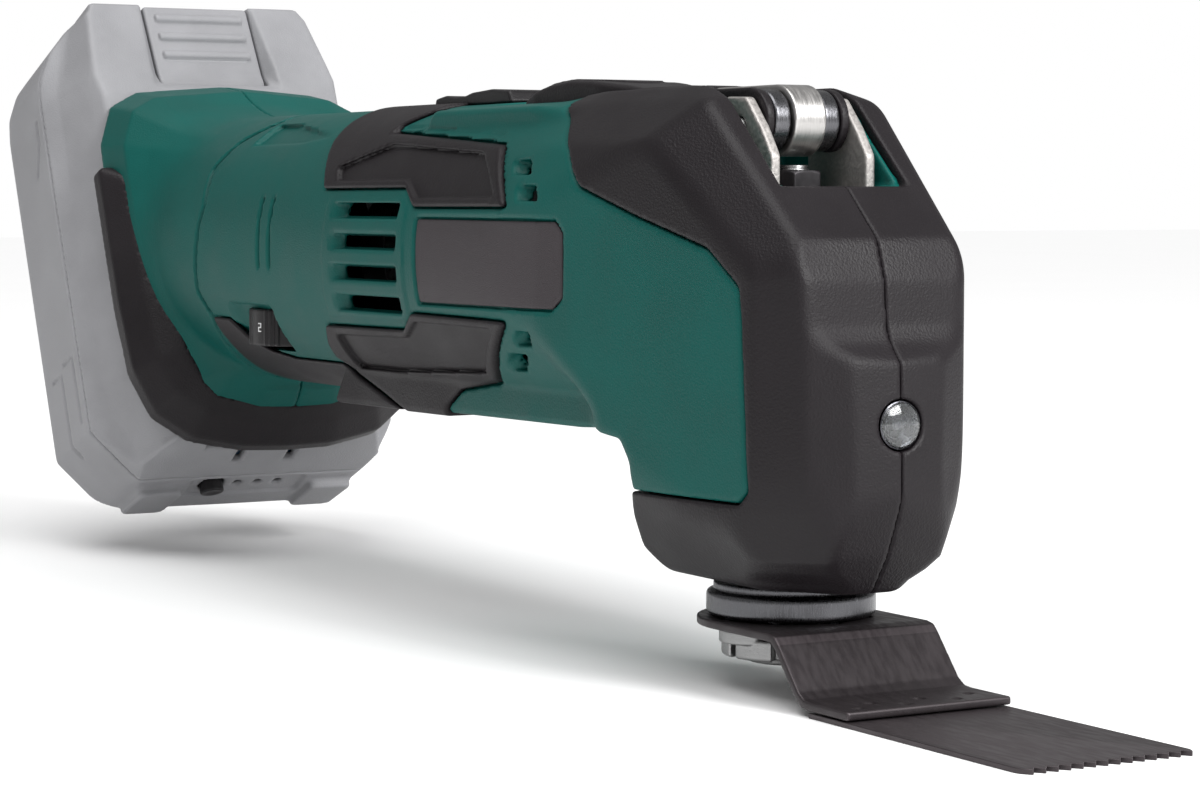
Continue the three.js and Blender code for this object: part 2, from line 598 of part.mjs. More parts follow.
function gear_housing() {
  const sleeve = solid(upright_ring(0, 0, SLEEVE.low, SLEEVE.high, SLEEVE.inner, SLEEVE.outer));
  const carrier = solid(ring_along_x(-58, -50, 0, BODY_Z, 8.4, 13, 24));
  const arms = [-1, 1].map((side) => solid(box(-57, 8, side * 16 - 4, side * 16 + 4, 70, 80)));
  const cross = [-1, 1].map((side) => solid(box(-57, -51, side * 14 - 6, side * 14 + 6, 70, 80)));
  const window = solid(box(-40, -3, -15.9, 15.9, 57, 87));
  const bore = solid(rod(-60, -45, 0, BODY_Z, 8.4, 24));
  const body = cut(union(sleeve, carrier, ...arms, ...cross), window, bore,
    solid(post(0, 0, 10, 100, SLEEVE.inner, 32)));
  add('gear_housing', shapeOf(body), CAST);
  add('motor_bearing', ring_along_x(-57.5, -50.5, 0, BODY_Z, 2.8, 8.1, 24), STEEL);
}

function eccentric_drive() {
  const z = BODY_Z + ECCENTRICITY;
  const journal = union(
    solid(rod(ECCENTRIC_X - 5, ECCENTRIC_X + 5, 0, z, 3.8, 18)),
    solid(rod(ECCENTRIC_X - 14, ECCENTRIC_X - 4.8, 0, BODY_Z, 4.8, 18)),
  ).subtract(solid(rod(ECCENTRIC_X - 20, ECCENTRIC_X - 6.6, 0, BODY_Z, 2.8, 16)));
  add('eccentric', shapeOf(journal), STEEL);
  add('eccentric_bearing', ring_along_x(ECCENTRIC_X - 4, ECCENTRIC_X + 4, 0, z, 4.1, 8.6, 24), STEEL);
}

const SPINDLE_TOP = 80;
const BORE = 4.5;

function spindle() {
  const profile = [
    [BORE, 15.5], [8, 15.5], [8, 34], [6, 34], [6, SPINDLE_TOP], [BORE, SPINDLE_TOP], [BORE, 15.5],
  ];
  const shaft = new THREE.LatheGeometry(profile.map(([r, z]) => new THREE.Vector2(r, z)), 24);
  shaft.rotateX(Math.PI / 2);
  add('spindle', shaft, STEEL);
  add('lower_bearing', upright_ring(0, 0, 26, 33, 8.3, BEARING_RADIUS), STEEL);
  add('upper_bearing', upright_ring(0, 0, 46, 53, 6.3, BEARING_RADIUS), STEEL);
  const arm = (side) => solid(box(-29, -12, side * 12.8 - 2, side * 12.8 + 2, 60, 84));
  const fork = cut(
    union(solid(post(0, 0, 60, 68, 10)), solid(box(-17, -7, -14.8, 14.8, 60, 68)), arm(-1), arm(1)),
    solid(post(0, 0, 50, 80, 6 + GAP)),
  );
  add('swing_fork', shapeOf(fork), DARK_STEEL);
}

function output_flange() {
  const profile = [
    [BORE, FLANGE_BOTTOM], [FLANGE_RADIUS, FLANGE_BOTTOM], [FLANGE_RADIUS, FLANGE_TOP - 1],
    [FLANGE_RADIUS - 1, FLANGE_TOP], [BORE, FLANGE_TOP], [BORE, FLANGE_BOTTOM],
  ];
  const disc = new THREE.LatheGeometry(profile.map(([r, z]) => new THREE.Vector2(r, z)), 32);
  disc.rotateX(Math.PI / 2);
  const pins = Array.from({ length: 8 }, (_, k) => {
    const angle = (Math.PI * (2 * k + 1)) / 8;
    return solid(post(PIN_CIRCLE * Math.cos(angle), PIN_CIRCLE * Math.sin(angle), 9.4, 12, 1.2, 6));
  });
  add('output_flange', shapeOf(union(solid(disc), ...pins)), DARK_STEEL);
}

// ---- blade ----------------------------------------------------------------------------------------
const PLATE_TOP = FLANGE_BOTTOM - GAP;

function blade() {
  const low = 0;
  const top = [[-20, PLATE_TOP], [19, PLATE_TOP], [22, PLATE_TOP - 0.8], [29, 1.2], [32, low], [43.3, low]];
  const under = [...top].reverse().map(([x, z], i, all) => [
    x - (i > 0 && i < all.length - 2 ? 0.7 : 0), z - PLATE]);
  const strip = solid(side_prism([...top, ...under], -BLADE_HALF_WIDTH, BLADE_HALF_WIDTH));
  const outline = Array.from({ length: 17 }, (_, k) => {
    const angle = Math.PI / 2 + (Math.PI * k) / 16;
    return [BLADE_HALF_WIDTH * Math.cos(angle), BLADE_HALF_WIDTH * Math.sin(angle)];
  });
  const round = solid(plan_prism([...outline, [60, -BLADE_HALF_WIDTH], [60, BLADE_HALF_WIDTH]], -20, 40));
  const holes = Array.from({ length: 8 }, (_, k) => {
    const angle = (Math.PI * (2 * k + 1)) / 8;
    return solid(post(PIN_CIRCLE * Math.cos(angle), PIN_CIRCLE * Math.sin(angle), 5, 15, 1.6, 8));
  });
  add('blade_adapter', shapeOf(cut(strip.intersect(round), solid(post(0, 0, 5, 15, 5, 24)), ...holes)), BLADE_STEEL);

  const step = (2 * BLADE_HALF_WIDTH) / TOOTH_COUNT;
  const teeth = [];
  for (let k = 0; k < TOOTH_COUNT; k += 1) {
    const y = -BLADE_HALF_WIDTH + k * step;
    teeth.push([BLADE_TIP - TOOTH_DEPTH, y], [BLADE_TIP, y + step / 2]);
  }
  teeth.push([BLADE_TIP - TOOTH_DEPTH, BLADE_HALF_WIDTH]);
  const sheet = [[31.5, -BLADE_HALF_WIDTH], ...teeth, [31.5, BLADE_HALF_WIDTH]];
  const sheet_top = -PLATE - GAP;
  add('saw_blade', plan_prism(sheet, sheet_top - BLADE, sheet_top), BLADE_STEEL);
}

// ---- quick clamp ----------------------------------------------------------------------------------
const CLAMP_TOP = PLATE_TOP - PLATE - GAP;

function clamp() {
  const lobes = Array.from({ length: 48 }, (_, k) => {
    const angle = (2 * Math.PI * k) / 48;
    const radius = 12.6 + 1.1 * Math.cos(4 * angle);
    return [radius * Math.cos(angle), radius * Math.sin(angle)];
  });
  const bolt = union(
    solid(plan_prism(lobes, CLAMP_TOP - 3.4, CLAMP_TOP)),
    solid(post(0, 0, 2, CLAMP_TOP - 3, 10.4, 32)),
    solid(post(0, 0, CLAMP_TOP - 1, 82, 4, 20)),
    solid(post(0, 0, 81, LEVER_AXIS.z + CAM_THROW - ROLLER_RADIUS - GAP, 2.8, 16)),
  );
  add('clamp_bolt', shapeOf(bolt), STEEL);
  const nut = cut(solid(post(0, 0, 86.4, 90.4, 5.2, 6)), solid(post(0, 0, 80, 95, 2.8 + GAP, 16)));
  add('clamp_nut', shapeOf(nut), DARK_STEEL);
  add('clamp_spring', coil(0, 0, SPINDLE_TOP + 1.2, 85.2, 5.6, 0.7, 2), STEEL);
}

// ---- tool-free lever --------------------------------------------------------------------------------
const EAR = { inner: 9.2, outer: 10.8 };

function lever_bracket() {
  const outline = [[-9, 84.6], [-9, 101], [-5, 104.6], [1.5, 104.4], [6.5, 99], [10, 94], [10, 84.6]];
  const plates = [-1, 1].map((side) => solid(side_prism(
    outline, side * (EAR.inner + EAR.outer) / 2 - 0.8, side * (EAR.inner + EAR.outer) / 2 + 0.8)));
  const base = solid(box(-9, 10, -EAR.outer, EAR.outer, 83, 85));
  const bracket = cut(union(base, ...plates), solid(post(0, 0, 70, 90, 6.6)),
    solid(axle(-20, 20, LEVER_AXIS.x, LEVER_AXIS.z, 2.3, 16)));
  add('lever_bracket', shapeOf(bracket), CAST);
  add('lever_pin', axle(-11.6, 11.6, LEVER_AXIS.x, LEVER_AXIS.z, 2, 16), STEEL);
}

function lever() {
  const { x, z } = LEVER_AXIS;
  const bore = solid(axle(-20, 20, x, z, 2.3, 16));
  const strap = cut(
    union(
      solid(axle(-3.2, 3.2, x, z + CAM_THROW, ROLLER_RADIUS, 28)),
      solid(box(-40, x - 3, -3.2, 3.2, 102.2, 103.8)),
    ),
    bore,
  );
  add('lever_strap', shapeOf(strap), STEEL);
  [['cam_roller_left', -1], ['cam_roller_right', 1]].forEach(([name, side]) => {
    const disc = solid(axle(side * 6.2 - 2.7, side * 6.2 + 2.7, x, z + CAM_THROW, ROLLER_RADIUS - 0.3, 24));
    add(name, shapeOf(cut(disc, bore)), DARK_STEEL);
  });
  const arm = [[-9, 104.2], [-9, 107.4], [-46, 107.6], [-54, 109], [-70, 109.5], [-84, 108.6], [-88, 106], [-86, 104.2]];
  const width = [[-8, 8.6], [-44, 8.6], [-54, 11], [-80, 11], [-89, 6]];
  const plan = [...width, ...width.map(([a, b]) => [a, -b]).reverse()];
  const handle = solid(side_prism(arm, -20, 20)).intersect(solid(plan_prism(plan, 90, 120)));
  add('lever_handle', shapeOf(handle), BLACK);
}

// ---- controls ---------------------------------------------------------------------------------------
function controls() {
  const cap = union(
    solid(side_prism([[-130, 107.2], [-129, 108.4], [-104, 109.2], [-95.5, 108.6], [-94, 107.2]], -7, 7)),
    solid(box(-119, -103, -3, 3, 100.6, 107.6)),
  );
  add('slide_switch', shapeOf(cap), BLACK);
  const body = cut(solid(box(-124, -92, -6, 6, 94.6, 100.2)), solid(box(-122, -94, -3.4, 3.4, 98, 104)));
  add('switch_body', shapeOf(body), BLACK);
  const wheel = cut(
    solid(post(DIAL.x, DIAL.y, DIAL.z - 4.2, DIAL.z + 4.2, DIAL.radius, 30)),
    solid(post(DIAL.x, DIAL.y, DIAL.z - 6, DIAL.z + 6, 2.1, 10)),
  );
  add('speed_dial', shapeOf(wheel), BLACK);
  add('control_board', box(-196, -156, -20, 20, 64, 65.6), BOARD);
  const lens = new THREE.LatheGeometry([[0, 31.4], [4.2, 31.4], [4.2, 34], [3, 35], [0, 35.4]].map(
    ([r, h]) => new THREE.Vector2(r, h)), 20);
  lens.rotateZ(-Math.PI / 2);
  lens.translate(0, 0, 47.2);
  add('led_lens', lens, CLEAR);
}

shells();
screws();
overlays();
bumper();
foot_parts();
pack();
latch();
latch_spring();
motor();
fan();
gear_housing();
eccentric_drive();
spindle();
output_flange();
blade();
clamp();
lever_bracket();
lever();
controls();

// Centre the footprint on the origin and stand the lowest point on z = 0.
const extent = new THREE.Box3().setFromObject(tool, true);
const centre = extent.getCenter(new THREE.Vector3());
tool.position.set(-centre.x, -centre.y, -extent.min.z);

export default tool;
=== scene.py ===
"""Cordless oscillating multi tool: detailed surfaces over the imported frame.

Shapes are worked out in tool space: millimetres, the spindle axis at x = 0, y = 0, +X towards the
blade, z = 0 at the top of the blade. Moulded parts are signed distance fields turned into meshes.
"""

import functools
import math
import bpy
import numpy as np
from mathutils import Euler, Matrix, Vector


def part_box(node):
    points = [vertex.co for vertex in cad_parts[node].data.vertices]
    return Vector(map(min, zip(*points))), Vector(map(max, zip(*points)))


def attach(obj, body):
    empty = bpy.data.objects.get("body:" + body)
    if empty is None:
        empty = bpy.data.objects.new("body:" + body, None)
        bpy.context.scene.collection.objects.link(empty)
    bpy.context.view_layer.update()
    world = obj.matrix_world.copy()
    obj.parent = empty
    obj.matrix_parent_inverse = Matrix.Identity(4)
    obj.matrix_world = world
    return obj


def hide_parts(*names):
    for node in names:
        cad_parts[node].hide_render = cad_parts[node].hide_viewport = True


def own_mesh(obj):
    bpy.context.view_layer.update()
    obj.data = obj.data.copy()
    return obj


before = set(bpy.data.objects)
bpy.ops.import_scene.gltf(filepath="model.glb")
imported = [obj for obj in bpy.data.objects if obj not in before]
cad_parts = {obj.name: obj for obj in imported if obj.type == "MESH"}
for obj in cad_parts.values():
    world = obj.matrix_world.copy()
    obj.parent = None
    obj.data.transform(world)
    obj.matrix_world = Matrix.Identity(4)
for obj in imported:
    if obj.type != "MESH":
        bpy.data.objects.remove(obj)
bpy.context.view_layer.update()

# ---- driving dimensions, in millimetres
MM = 0.001
SPINDLE_LOW = 15.5               # the spindle's lower end above z = 0
BARREL = {"z": 74.8, "half_width": 32.0, "half_height": 32.0, "power": 2.2, "rear": -240.0}
WALL = 2.6
SEAM = 0.06                      # half the gap between the two halves
TILT = math.radians(22)          # the battery leans back by this much
FOOT_PLANE = -202.4
RECESS = {"half": 12.4, "cover": 13.6, "rear": -90.5, "step": -22.0, "deck": 88.4, "floor": 101.6}
LED = {"z": 47.2, "radius": 4.2}
LEVER = {"x": -0.5, "z": 98.7, "throw": 1.6, "band": 6.5, "roller": 5.6, "arm": 5.7, "bore": 2.3}
DIAL = {"x": -177.0, "y": -17.4, "z": 57.0, "radius": 12.0, "first": 140.0}
PACK = {"low": 105.8, "high": 232.4, "depth": 49.0, "split": 20.15, "rearmost": -318.3, "top": 136.1}
FLANGE = {"radius": 15.5, "low": 10.7, "high": 15.2}
BLADE = {"half": 17.2, "tip": 91.6, "teeth": 14, "tooth": 1.6}


HANDS = (("left", -1), ("right", 1))
LIGHT = {"dome": 0.34, "backdrop": 1.0, "sun": 2.3, "front": 19}


def middle(node):
    low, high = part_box(node)
    return (low + high) / 2


ORIGIN = Vector((middle("spindle").x, middle("spindle").y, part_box("spindle")[0].z - SPINDLE_LOW * MM))
COARSE = 1.0


# ---- fields
def smax(a, b, radius):
    spread = np.maximum(radius - np.abs(a - b), 0)
    return np.maximum(a, b) + spread * spread / (4 * radius)


def smin(a, b, radius):
    return -smax(-a, -b, radius)


def meet(*fields):
    """The space that all the fields share."""
    return functools.reduce(np.maximum, fields)


def join(*fields):
    """The space that any of the fields fills."""
    return functools.reduce(np.minimum, fields)


def smoothstep(value, start, end):
    t = np.clip((value - start) / (end - start), 0, 1)
    return t * t * (3 - 2 * t)


class Outline:
    """Signed distance to a closed outline, tabulated on a fine grid; soft rounds its corners."""

    def __init__(self, points, soft=0.0, step=0.4, pad=12.0):
        points = np.asarray(points, float)
        self.step = step
        self.low = points.min(0) - pad
        self.count = np.ceil((points.max(0) + pad - self.low) / step).astype(int) + 1
        u, v = np.meshgrid(*(self.low[k] + step * np.arange(self.count[k]) for k in (0, 1)),
            indexing="ij")
        nearest = np.full(u.shape, 1e9)
        inside = np.zeros(u.shape, bool)
        for (u0, v0), (u1, v1) in zip(points, np.roll(points, -1, 0)):
            du, dv = u1 - u0, v1 - v0
            t = np.clip(((u - u0) * du + (v - v0) * dv) / (du * du + dv * dv), 0, 1)
            nearest = np.minimum(nearest, (u - u0 - t * du) ** 2 + (v - v0 - t * dv) ** 2)
            crosses = (v0 > v) != (v1 > v)
            at = u0 + (v - v0) * du / (dv if dv else 1e-12)
            inside ^= crosses & (u < at)
        table = np.sqrt(nearest) * np.where(inside, -1, 1)
        if soft:
            table = self.blur(self.blur(table, soft / step).T, soft / step).T
        self.table = table.astype(np.float32)

    @staticmethod
    def blur(table, sigma):
        reach = int(3 * sigma) + 1
        weights = np.exp(-0.5 * (np.arange(-reach, reach + 1) / sigma) ** 2)
        padded = np.pad(table, ((reach, reach), (0, 0)), mode="edge")
        rows = table.shape[0]
        total = sum(w * padded[k:k + rows] for k, w in enumerate(weights))
        return total / weights.sum()

    def __call__(self, u, v):
        a = np.clip((u - self.low[0]) / self.step, 0, self.count[0] - 1.001)
        b = np.clip((v - self.low[1]) / self.step, 0, self.count[1] - 1.001)
        i, j = a.astype(int), b.astype(int)
        a, b = a - i, b - j
        t = self.table
        return (t[i, j] * (1 - a) * (1 - b) + t[i + 1, j] * a * (1 - b)
                + t[i, j + 1] * (1 - a) * b + t[i + 1, j + 1] * a * b)


def mirrored(half):
    return list(half) + [(-a, b) for a, b in reversed(half)]


def box_field(u, low, high):
    return np.maximum(low - u, u - high)


def engrave(skin, region, depth, radius=0.5):
    """Sinks the region (negative inside) by depth below the skin."""
    return smax(skin, np.minimum(-region, skin + depth), radius)


def emboss(skin, region, height, radius=0.5):
    return smin(skin, np.maximum(region, skin - height), radius)


# ---- meshing
BLOCK = 8


def sample(field, low, counts, step):
    """Values on a grid, worked out only in the blocks that the surface can pass through."""
    blocks = np.ceil(np.asarray(counts) / BLOCK).astype(int)
    size = blocks * BLOCK
    centre = [low[k] + step * (BLOCK * np.arange(blocks[k]) + (BLOCK - 1) / 2) for k in range(3)]
    coarse = field(*np.meshgrid(*centre, indexing="ij"))
    near = np.argwhere(np.abs(coarse) < step * BLOCK * 1.5 + 1)
    values = np.repeat(np.repeat(np.repeat(coarse, BLOCK, 0), BLOCK, 1), BLOCK, 2).astype(np.float32)
    inner = np.stack(np.meshgrid(*[np.arange(BLOCK)] * 3, indexing="ij"), -1).reshape(-1, 3)
    chunk = 600
    for start in range(0, len(near), chunk):
        index = (near[start:start + chunk, None, :] * BLOCK + inner[None]).reshape(-1, 3)
        x, y, z = (low[k] + step * index[:, k] for k in range(3))
        values[index[:, 0], index[:, 1], index[:, 2]] = field(x, y, z)
    return values


def surface(field, low, high, step):
    """Surface nets: one vertex in each cell that the surface crosses, then moved onto it."""
    step = step * COARSE
    low = np.asarray(low, float) - 1.5 * step
    counts = np.ceil((np.asarray(high) + 1.5 * step - low) / step).astype(int) + 1
    values = sample(field, low, counts, step)
    inside = values < 0
    shape = np.array(values.shape) - 1
    tally = np.zeros(shape, np.int8)
    corners = [(i, j, k) for i in (0, 1) for j in (0, 1) for k in (0, 1)]
    for i, j, k in corners:
        tally += inside[i:i + shape[0], j:j + shape[1], k:k + shape[2]]
    cells = np.argwhere((tally > 0) & (tally < 8))
    number = np.full(shape, -1, np.int32)
    number[tuple(cells.T)] = np.arange(len(cells))
    at_corner = {c: values[tuple((cells + c).T)] for c in corners}
    total = np.zeros((len(cells), 3))
    hits = np.zeros(len(cells))
    for a in corners:
        for axis in range(3):
            if a[axis]:
                continue
            b = tuple(1 if k == axis else a[k] for k in range(3))
            va, vb = at_corner[a], at_corner[b]
            crossed = (va < 0) != (vb < 0)
            t = np.where(crossed, va / np.where(crossed, va - vb, 1), 0)
            point = np.array(a, float) + np.eye(3)[axis] * t[:, None]
            total += point * crossed[:, None]
            hits += crossed
    points = low + step * (cells + total / hits[:, None])
    faces = []
    for axis in range(3):
        first = [slice(None)] * 3
        second = [slice(None)] * 3
        first[axis], second[axis] = slice(0, -1), slice(1, None)
        start, end = inside[tuple(first)], inside[tuple(second)]
        u, v = [k for k in range(3) if k != axis]
        edges = np.argwhere(start != end)
        edges = edges[(edges[:, u] > 0) & (edges[:, v] > 0)]
        edges = edges[(edges[:, u] < shape[u]) & (edges[:, v] < shape[v])]
        leaving = start[tuple(edges.T)]
        quad = []
        for du, dv in ((1, 1), (0, 1), (0, 0), (1, 0)):
            cell = edges.copy()
            cell[:, u] -= du
            cell[:, v] -= dv
            quad.append(number[tuple(cell.T)])
        quad = np.stack(quad, 1)
        flip = leaving if axis == 1 else ~leaving
        quad[flip] = quad[flip][:, ::-1]
        faces.append(quad)
    faces = np.concatenate(faces)
    faces = faces[(faces >= 0).all(1)]
    return settle(field, points, step), faces


def settle(field, points, step, rounds=2):
    """Moves the points onto the surface along its slope, by no more than half a cell."""
    start = points.copy()
    probe = 0.08 * step
    for _ in range(rounds):
        x, y, z = points.T
        here = field(x, y, z)
        slope = np.stack([
            field(x + probe, y, z) - field(x - probe, y, z),
            field(x, y + probe, z) - field(x, y - probe, z),
            field(x, y, z + probe) - field(x, y, z - probe)], 1) / (2 * probe)
        steepness = np.maximum((slope ** 2).sum(1), 0.3)
        points = points - slope * (here / steepness)[:, None]
        points = start + np.clip(points - start, -0.6 * step, 0.6 * step)
    return points


def placed(points):
    return np.asarray(points, float) * MM + np.array(ORIGIN)


def make_piece(name, points, faces, material, body, replaced=()):
    mesh = bpy.data.meshes.new(name)
    points = placed(points)
    if isinstance(faces, np.ndarray):
        mesh.vertices.add(len(points))
        mesh.vertices.foreach_set("co", points.astype(np.float32).ravel())
        mesh.loops.add(faces.size)
        mesh.loops.foreach_set("vertex_index", faces.astype(np.int32).ravel())
        mesh.polygons.add(len(faces))
        mesh.polygons.foreach_set("loop_start", np.arange(0, faces.size, faces.shape[1], dtype=np.int32))
    else:
        mesh.from_pydata([tuple(p) for p in points], [], faces)
    mesh.update(calc_edges=True)
    mesh.validate()
    mesh.polygons.foreach_set("use_smooth", np.ones(len(mesh.polygons), bool))
    mesh.materials.append(material)
    item = bpy.data.objects.new(name, mesh)
    bpy.context.scene.collection.objects.link(item)
    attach(item, body)
    if replaced:
        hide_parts(*replaced)
    return item


def moulded(name, field, low, high, step, material, body, replaced=()):
    points, faces = surface(field, low, high, step)
    return make_piece(name, points, faces, material, body, replaced)


# ---- materials
def linear(red, green, blue):
    """An sRGB colour out of 255 as the linear one that a shader takes."""
    def one(c):
        c /= 255
        return c / 12.92 if c <= 0.04045 else ((c + 0.055) / 1.055) ** 2.4
    return (one(red), one(green), one(blue), 1.0)


class Shader:
    """A node material built up from a few named steps."""

    def __init__(self, name, metallic=0.0, specular=0.5):
        self.material = bpy.data.materials.new(name)
        self.material.use_nodes = True
        self.nodes = self.material.node_tree.nodes
        self.links = self.material.node_tree.links
        self.shader = self.nodes["Principled BSDF"]
        self.shader.inputs["Metallic"].default_value = metallic
        self.shader.inputs["Specular IOR Level"].default_value = specular
        self.place = self.add("ShaderNodeTexCoord").outputs["Object"]

    def add(self, kind, **values):
        node = self.nodes.new(kind)
        for key, value in values.items():
            setattr(node, key, value)
        return node

    def noise(self, scale, detail=3.0, stretch=(1, 1, 1)):
        mapping = self.add("ShaderNodeMapping")
        mapping.inputs["Scale"].default_value = stretch
        self.links.new(self.place, mapping.inputs["Vector"])
        noise = self.add("ShaderNodeTexNoise")
        noise.inputs["Scale"].default_value = scale
        noise.inputs["Detail"].default_value = detail
        self.links.new(mapping.outputs["Vector"], noise.inputs["Vector"])
        return noise.outputs["Fac"]

    def remap(self, value, low, high, to_low, to_high):
        node = self.add("ShaderNodeMapRange")
        for key, number in zip(("From Min", "From Max", "To Min", "To Max"),
                (low, high, to_low, to_high)):
            node.inputs[key].default_value = number
        self.links.new(value, node.inputs["Value"])
        return node.outputs["Result"]

    def mix(self, factor, first, second):
        node = self.add("ShaderNodeMix", data_type="RGBA")
        self.links.new(factor, node.inputs["Factor"])
        for socket, colour in (("A", first), ("B", second)):
            target = [s for s in node.inputs if s.name == socket and s.type == "RGBA"][0]
            if isinstance(colour, tuple):
                target.default_value = colour
            else:
                self.links.new(colour, target)
        return [s for s in node.outputs if s.type == "RGBA"][0]

    def wear(self, start=0.52, end=0.60):
        """1 on worn convex edges, 0 elsewhere."""
        edges = self.add("ShaderNodeNewGeometry").outputs["Pointiness"]
        return self.remap(edges, start, end, 0, 1)

    def colour(self, socket):
        self.links.new(socket, self.shader.inputs["Base Color"])

    def roughness(self, value, low, high):
        self.links.new(self.remap(value, 0.35, 0.65, low, high), self.shader.inputs["Roughness"])

    def bump(self, height, distance, strength=1.0):
        node = self.add("ShaderNodeBump")
        node.inputs["Distance"].default_value = distance
        node.inputs["Strength"].default_value = strength
        self.links.new(height, node.inputs["Height"])
        self.links.new(node.outputs["Normal"], self.shader.inputs["Normal"])


def shade(colour, factor):
    return tuple(min(1.0, c * factor) for c in colour[:3]) + (1.0,)


def moulded_plastic(name, colour, rough, grain, depth, edge=1.25, specular=0.5):
    """Spark-eroded plastic: faint cloudy colour, fine grain, edges rubbed a little lighter."""
    made = Shader(name, specular=specular)
    cloud = made.noise(55, 4)
    fine = made.noise(grain, 2)
    tone = made.mix(made.remap(cloud, 0.35, 0.65, 0, 1), shade(colour, 0.92), shade(colour, 1.07))
    made.colour(made.mix(made.wear(), tone, shade(colour, edge)))
    made.roughness(cloud, rough - 0.05, rough + 0.06)
    made.bump(fine, depth)
    return made.material


def machined_metal(name, colour, rough, stretch, depth, edge=1.5, metallic=1.0, scale=700, streak=0.17):
    """Turned, ground or brushed metal: fine lines along one direction, bright edges."""
    made = Shader(name, metallic=metallic)
    lines = made.noise(scale, 4, stretch)
    cloud = made.noise(60, 3)
    tone = made.mix(made.remap(lines, 0.3, 0.7, 0, 1), shade(colour, 1 - streak),
        shade(colour, 1 + streak))
    tone = made.mix(made.remap(cloud, 0.4, 0.62, 0, 0.5), tone, shade(colour, 0.8))
    made.colour(made.mix(made.wear(), tone, shade(colour, edge)))
    made.roughness(lines, rough - 0.07, rough + 0.1)
    made.bump(lines, depth)
    return made.material


def wound_copper():
    made = Shader("copper", metallic=1.0)
    turns = made.add("ShaderNodeTexWave", bands_direction="X")
    turns.inputs["Scale"].default_value = 260
    made.links.new(made.place, turns.inputs["Vector"])
    made.colour(made.mix(turns.outputs["Fac"], linear(120, 60, 34), linear(204, 122, 78)))
    made.roughness(turns.outputs["Fac"], 0.3, 0.45)
    made.bump(turns.outputs["Fac"], 0.0003)
    return made.material


def clear_lens():
    made = Shader("lens")
    ripple = made.noise(400, 2)
    made.colour(made.mix(ripple, linear(222, 226, 228), linear(240, 242, 242)))
    made.shader.inputs["Transmission Weight"].default_value = 0.96
    made.shader.inputs["IOR"].default_value = 1.47
    made.roughness(ripple, 0.03, 0.1)
    made.bump(ripple, 0.00005)
    return made.material


def circuit_board():
    made = Shader("board")
    cells = made.add("ShaderNodeTexVoronoi")
    cells.inputs["Scale"].default_value = 240
    made.links.new(made.place, cells.inputs["Vector"])
    tracks = made.remap(cells.outputs["Distance"], 0.32, 0.36, 0, 1)
    made.colour(made.mix(tracks, linear(24, 74, 44), linear(38, 104, 62)))
    made.roughness(tracks, 0.3, 0.45)
    made.bump(tracks, 0.00008)
    return made.material


GREEN = moulded_plastic("housing_green", linear(3, 78, 72), 0.48, 2600, 0.00009, edge=1.2, specular=0.2)
BLACK = moulded_plastic("soft_black", linear(24, 20, 23), 0.48, 2200, 0.0001, edge=1.4, specular=0.26)
HARD = moulded_plastic("hard_black", linear(26, 24, 26), 0.42, 3000, 0.00006, edge=1.5, specular=0.3)
PLATE = moulded_plastic("plate_black", linear(58, 53, 56), 0.5, 5200, 0.00012, edge=1.2, specular=0.25)
PACK_GREY = moulded_plastic("pack_grey", linear(140, 140, 143), 0.48, 2600, 0.00008, edge=1.25,
    specular=0.35)
CELL = moulded_plastic("cell_wrap", linear(58, 112, 158), 0.28, 900, 0.00003, edge=1.2)
STEEL = machined_metal("steel", linear(150, 150, 150), 0.34, (1, 1, 14), 0.00002)
BRUSHED = machined_metal("brushed_band", linear(186, 184, 182), 0.36, (0.6, 9, 0.6), 0.00004, scale=500)
TURNED = machined_metal("dark_turned", linear(98, 98, 101), 0.3, (9, 9, 0.5), 0.00003, edge=1.8)
BLACKED = machined_metal("blackened", linear(52, 50, 52), 0.42, (4, 1, 1), 0.00002, edge=2.2,
    metallic=0.75)
BLADE_METAL = machined_metal("blade_steel", linear(56, 51, 53), 0.42, (0.6, 3, 1), 0.00001, 1.7, 0.6, 300,
                             0.05)
CAST = machined_metal("cast_metal", linear(172, 168, 165), 0.5, (1, 1, 1), 0.00012, 1.15, 0.7, 1500)
BRASS = machined_metal("brass", linear(186, 150, 82), 0.3, (8, 1, 1), 0.00002)
COPPER = wound_copper()
CUP = machined_metal("led_cup", linear(74, 74, 78), 0.25, (1, 1, 1), 0.00001)
LENS = clear_lens()
BOARD = circuit_board()
PAINT = moulded_plastic("dial_paint", linear(205, 205, 205), 0.5, 3000, 0.00001)

# ---- the tool's outer surface
HEAD_SIDE = Outline([
    (-330, 106.2), (-62, 106.2), (-58, 107), (-8, 107.2), (0, 104.0), (26.4, 79.3), (28.9, 72),
    (29.5, 64),
    (30.7, 61.2), (33.7, 58), (34.8, 41.5), (34.8, 35), (30.3, 24.4), (25.5, 17), (-20, 17.4),
    (-25.6, 22),
    (-25, 27.5), (-22.8, 33.8), (-23, 38.5), (-26, 42.5), (-34, 43.4), (-48, 42.6), (-330, 40),
], soft=0.7)
HEAD_PLAN = Outline(mirrored([(44.5, -330), (32.2, -49), (31.6, -40), (22.4, 21.5), (16.5, 29.3),
    (9, 33.4), (0.01, 34.9)]),
                    soft=0.6)
HEAD_FRONT = Outline(mirrored([
    (14.2, 16.6), (17, 18.6), (24.4, 30), (30.6, 44), (32.5, 60), (32.5, 84), (27, 96), (18, 104),
    (11, 108.4),
]), soft=1.0)
SHOULDER = {"plane": 31.0, "start": 72.0, "slope": 0.47}
CORNER_SIZE = ((17, 19.5), (19, 21.4), (21, 24.5), (23.3, 27), (32, 29.7), (38, 31), (60, 34), (110, 60))
DECK_SHAPE = {"half": 21.0, "eaves": 104.2, "pitch": 0.12, "rear": -104.0}


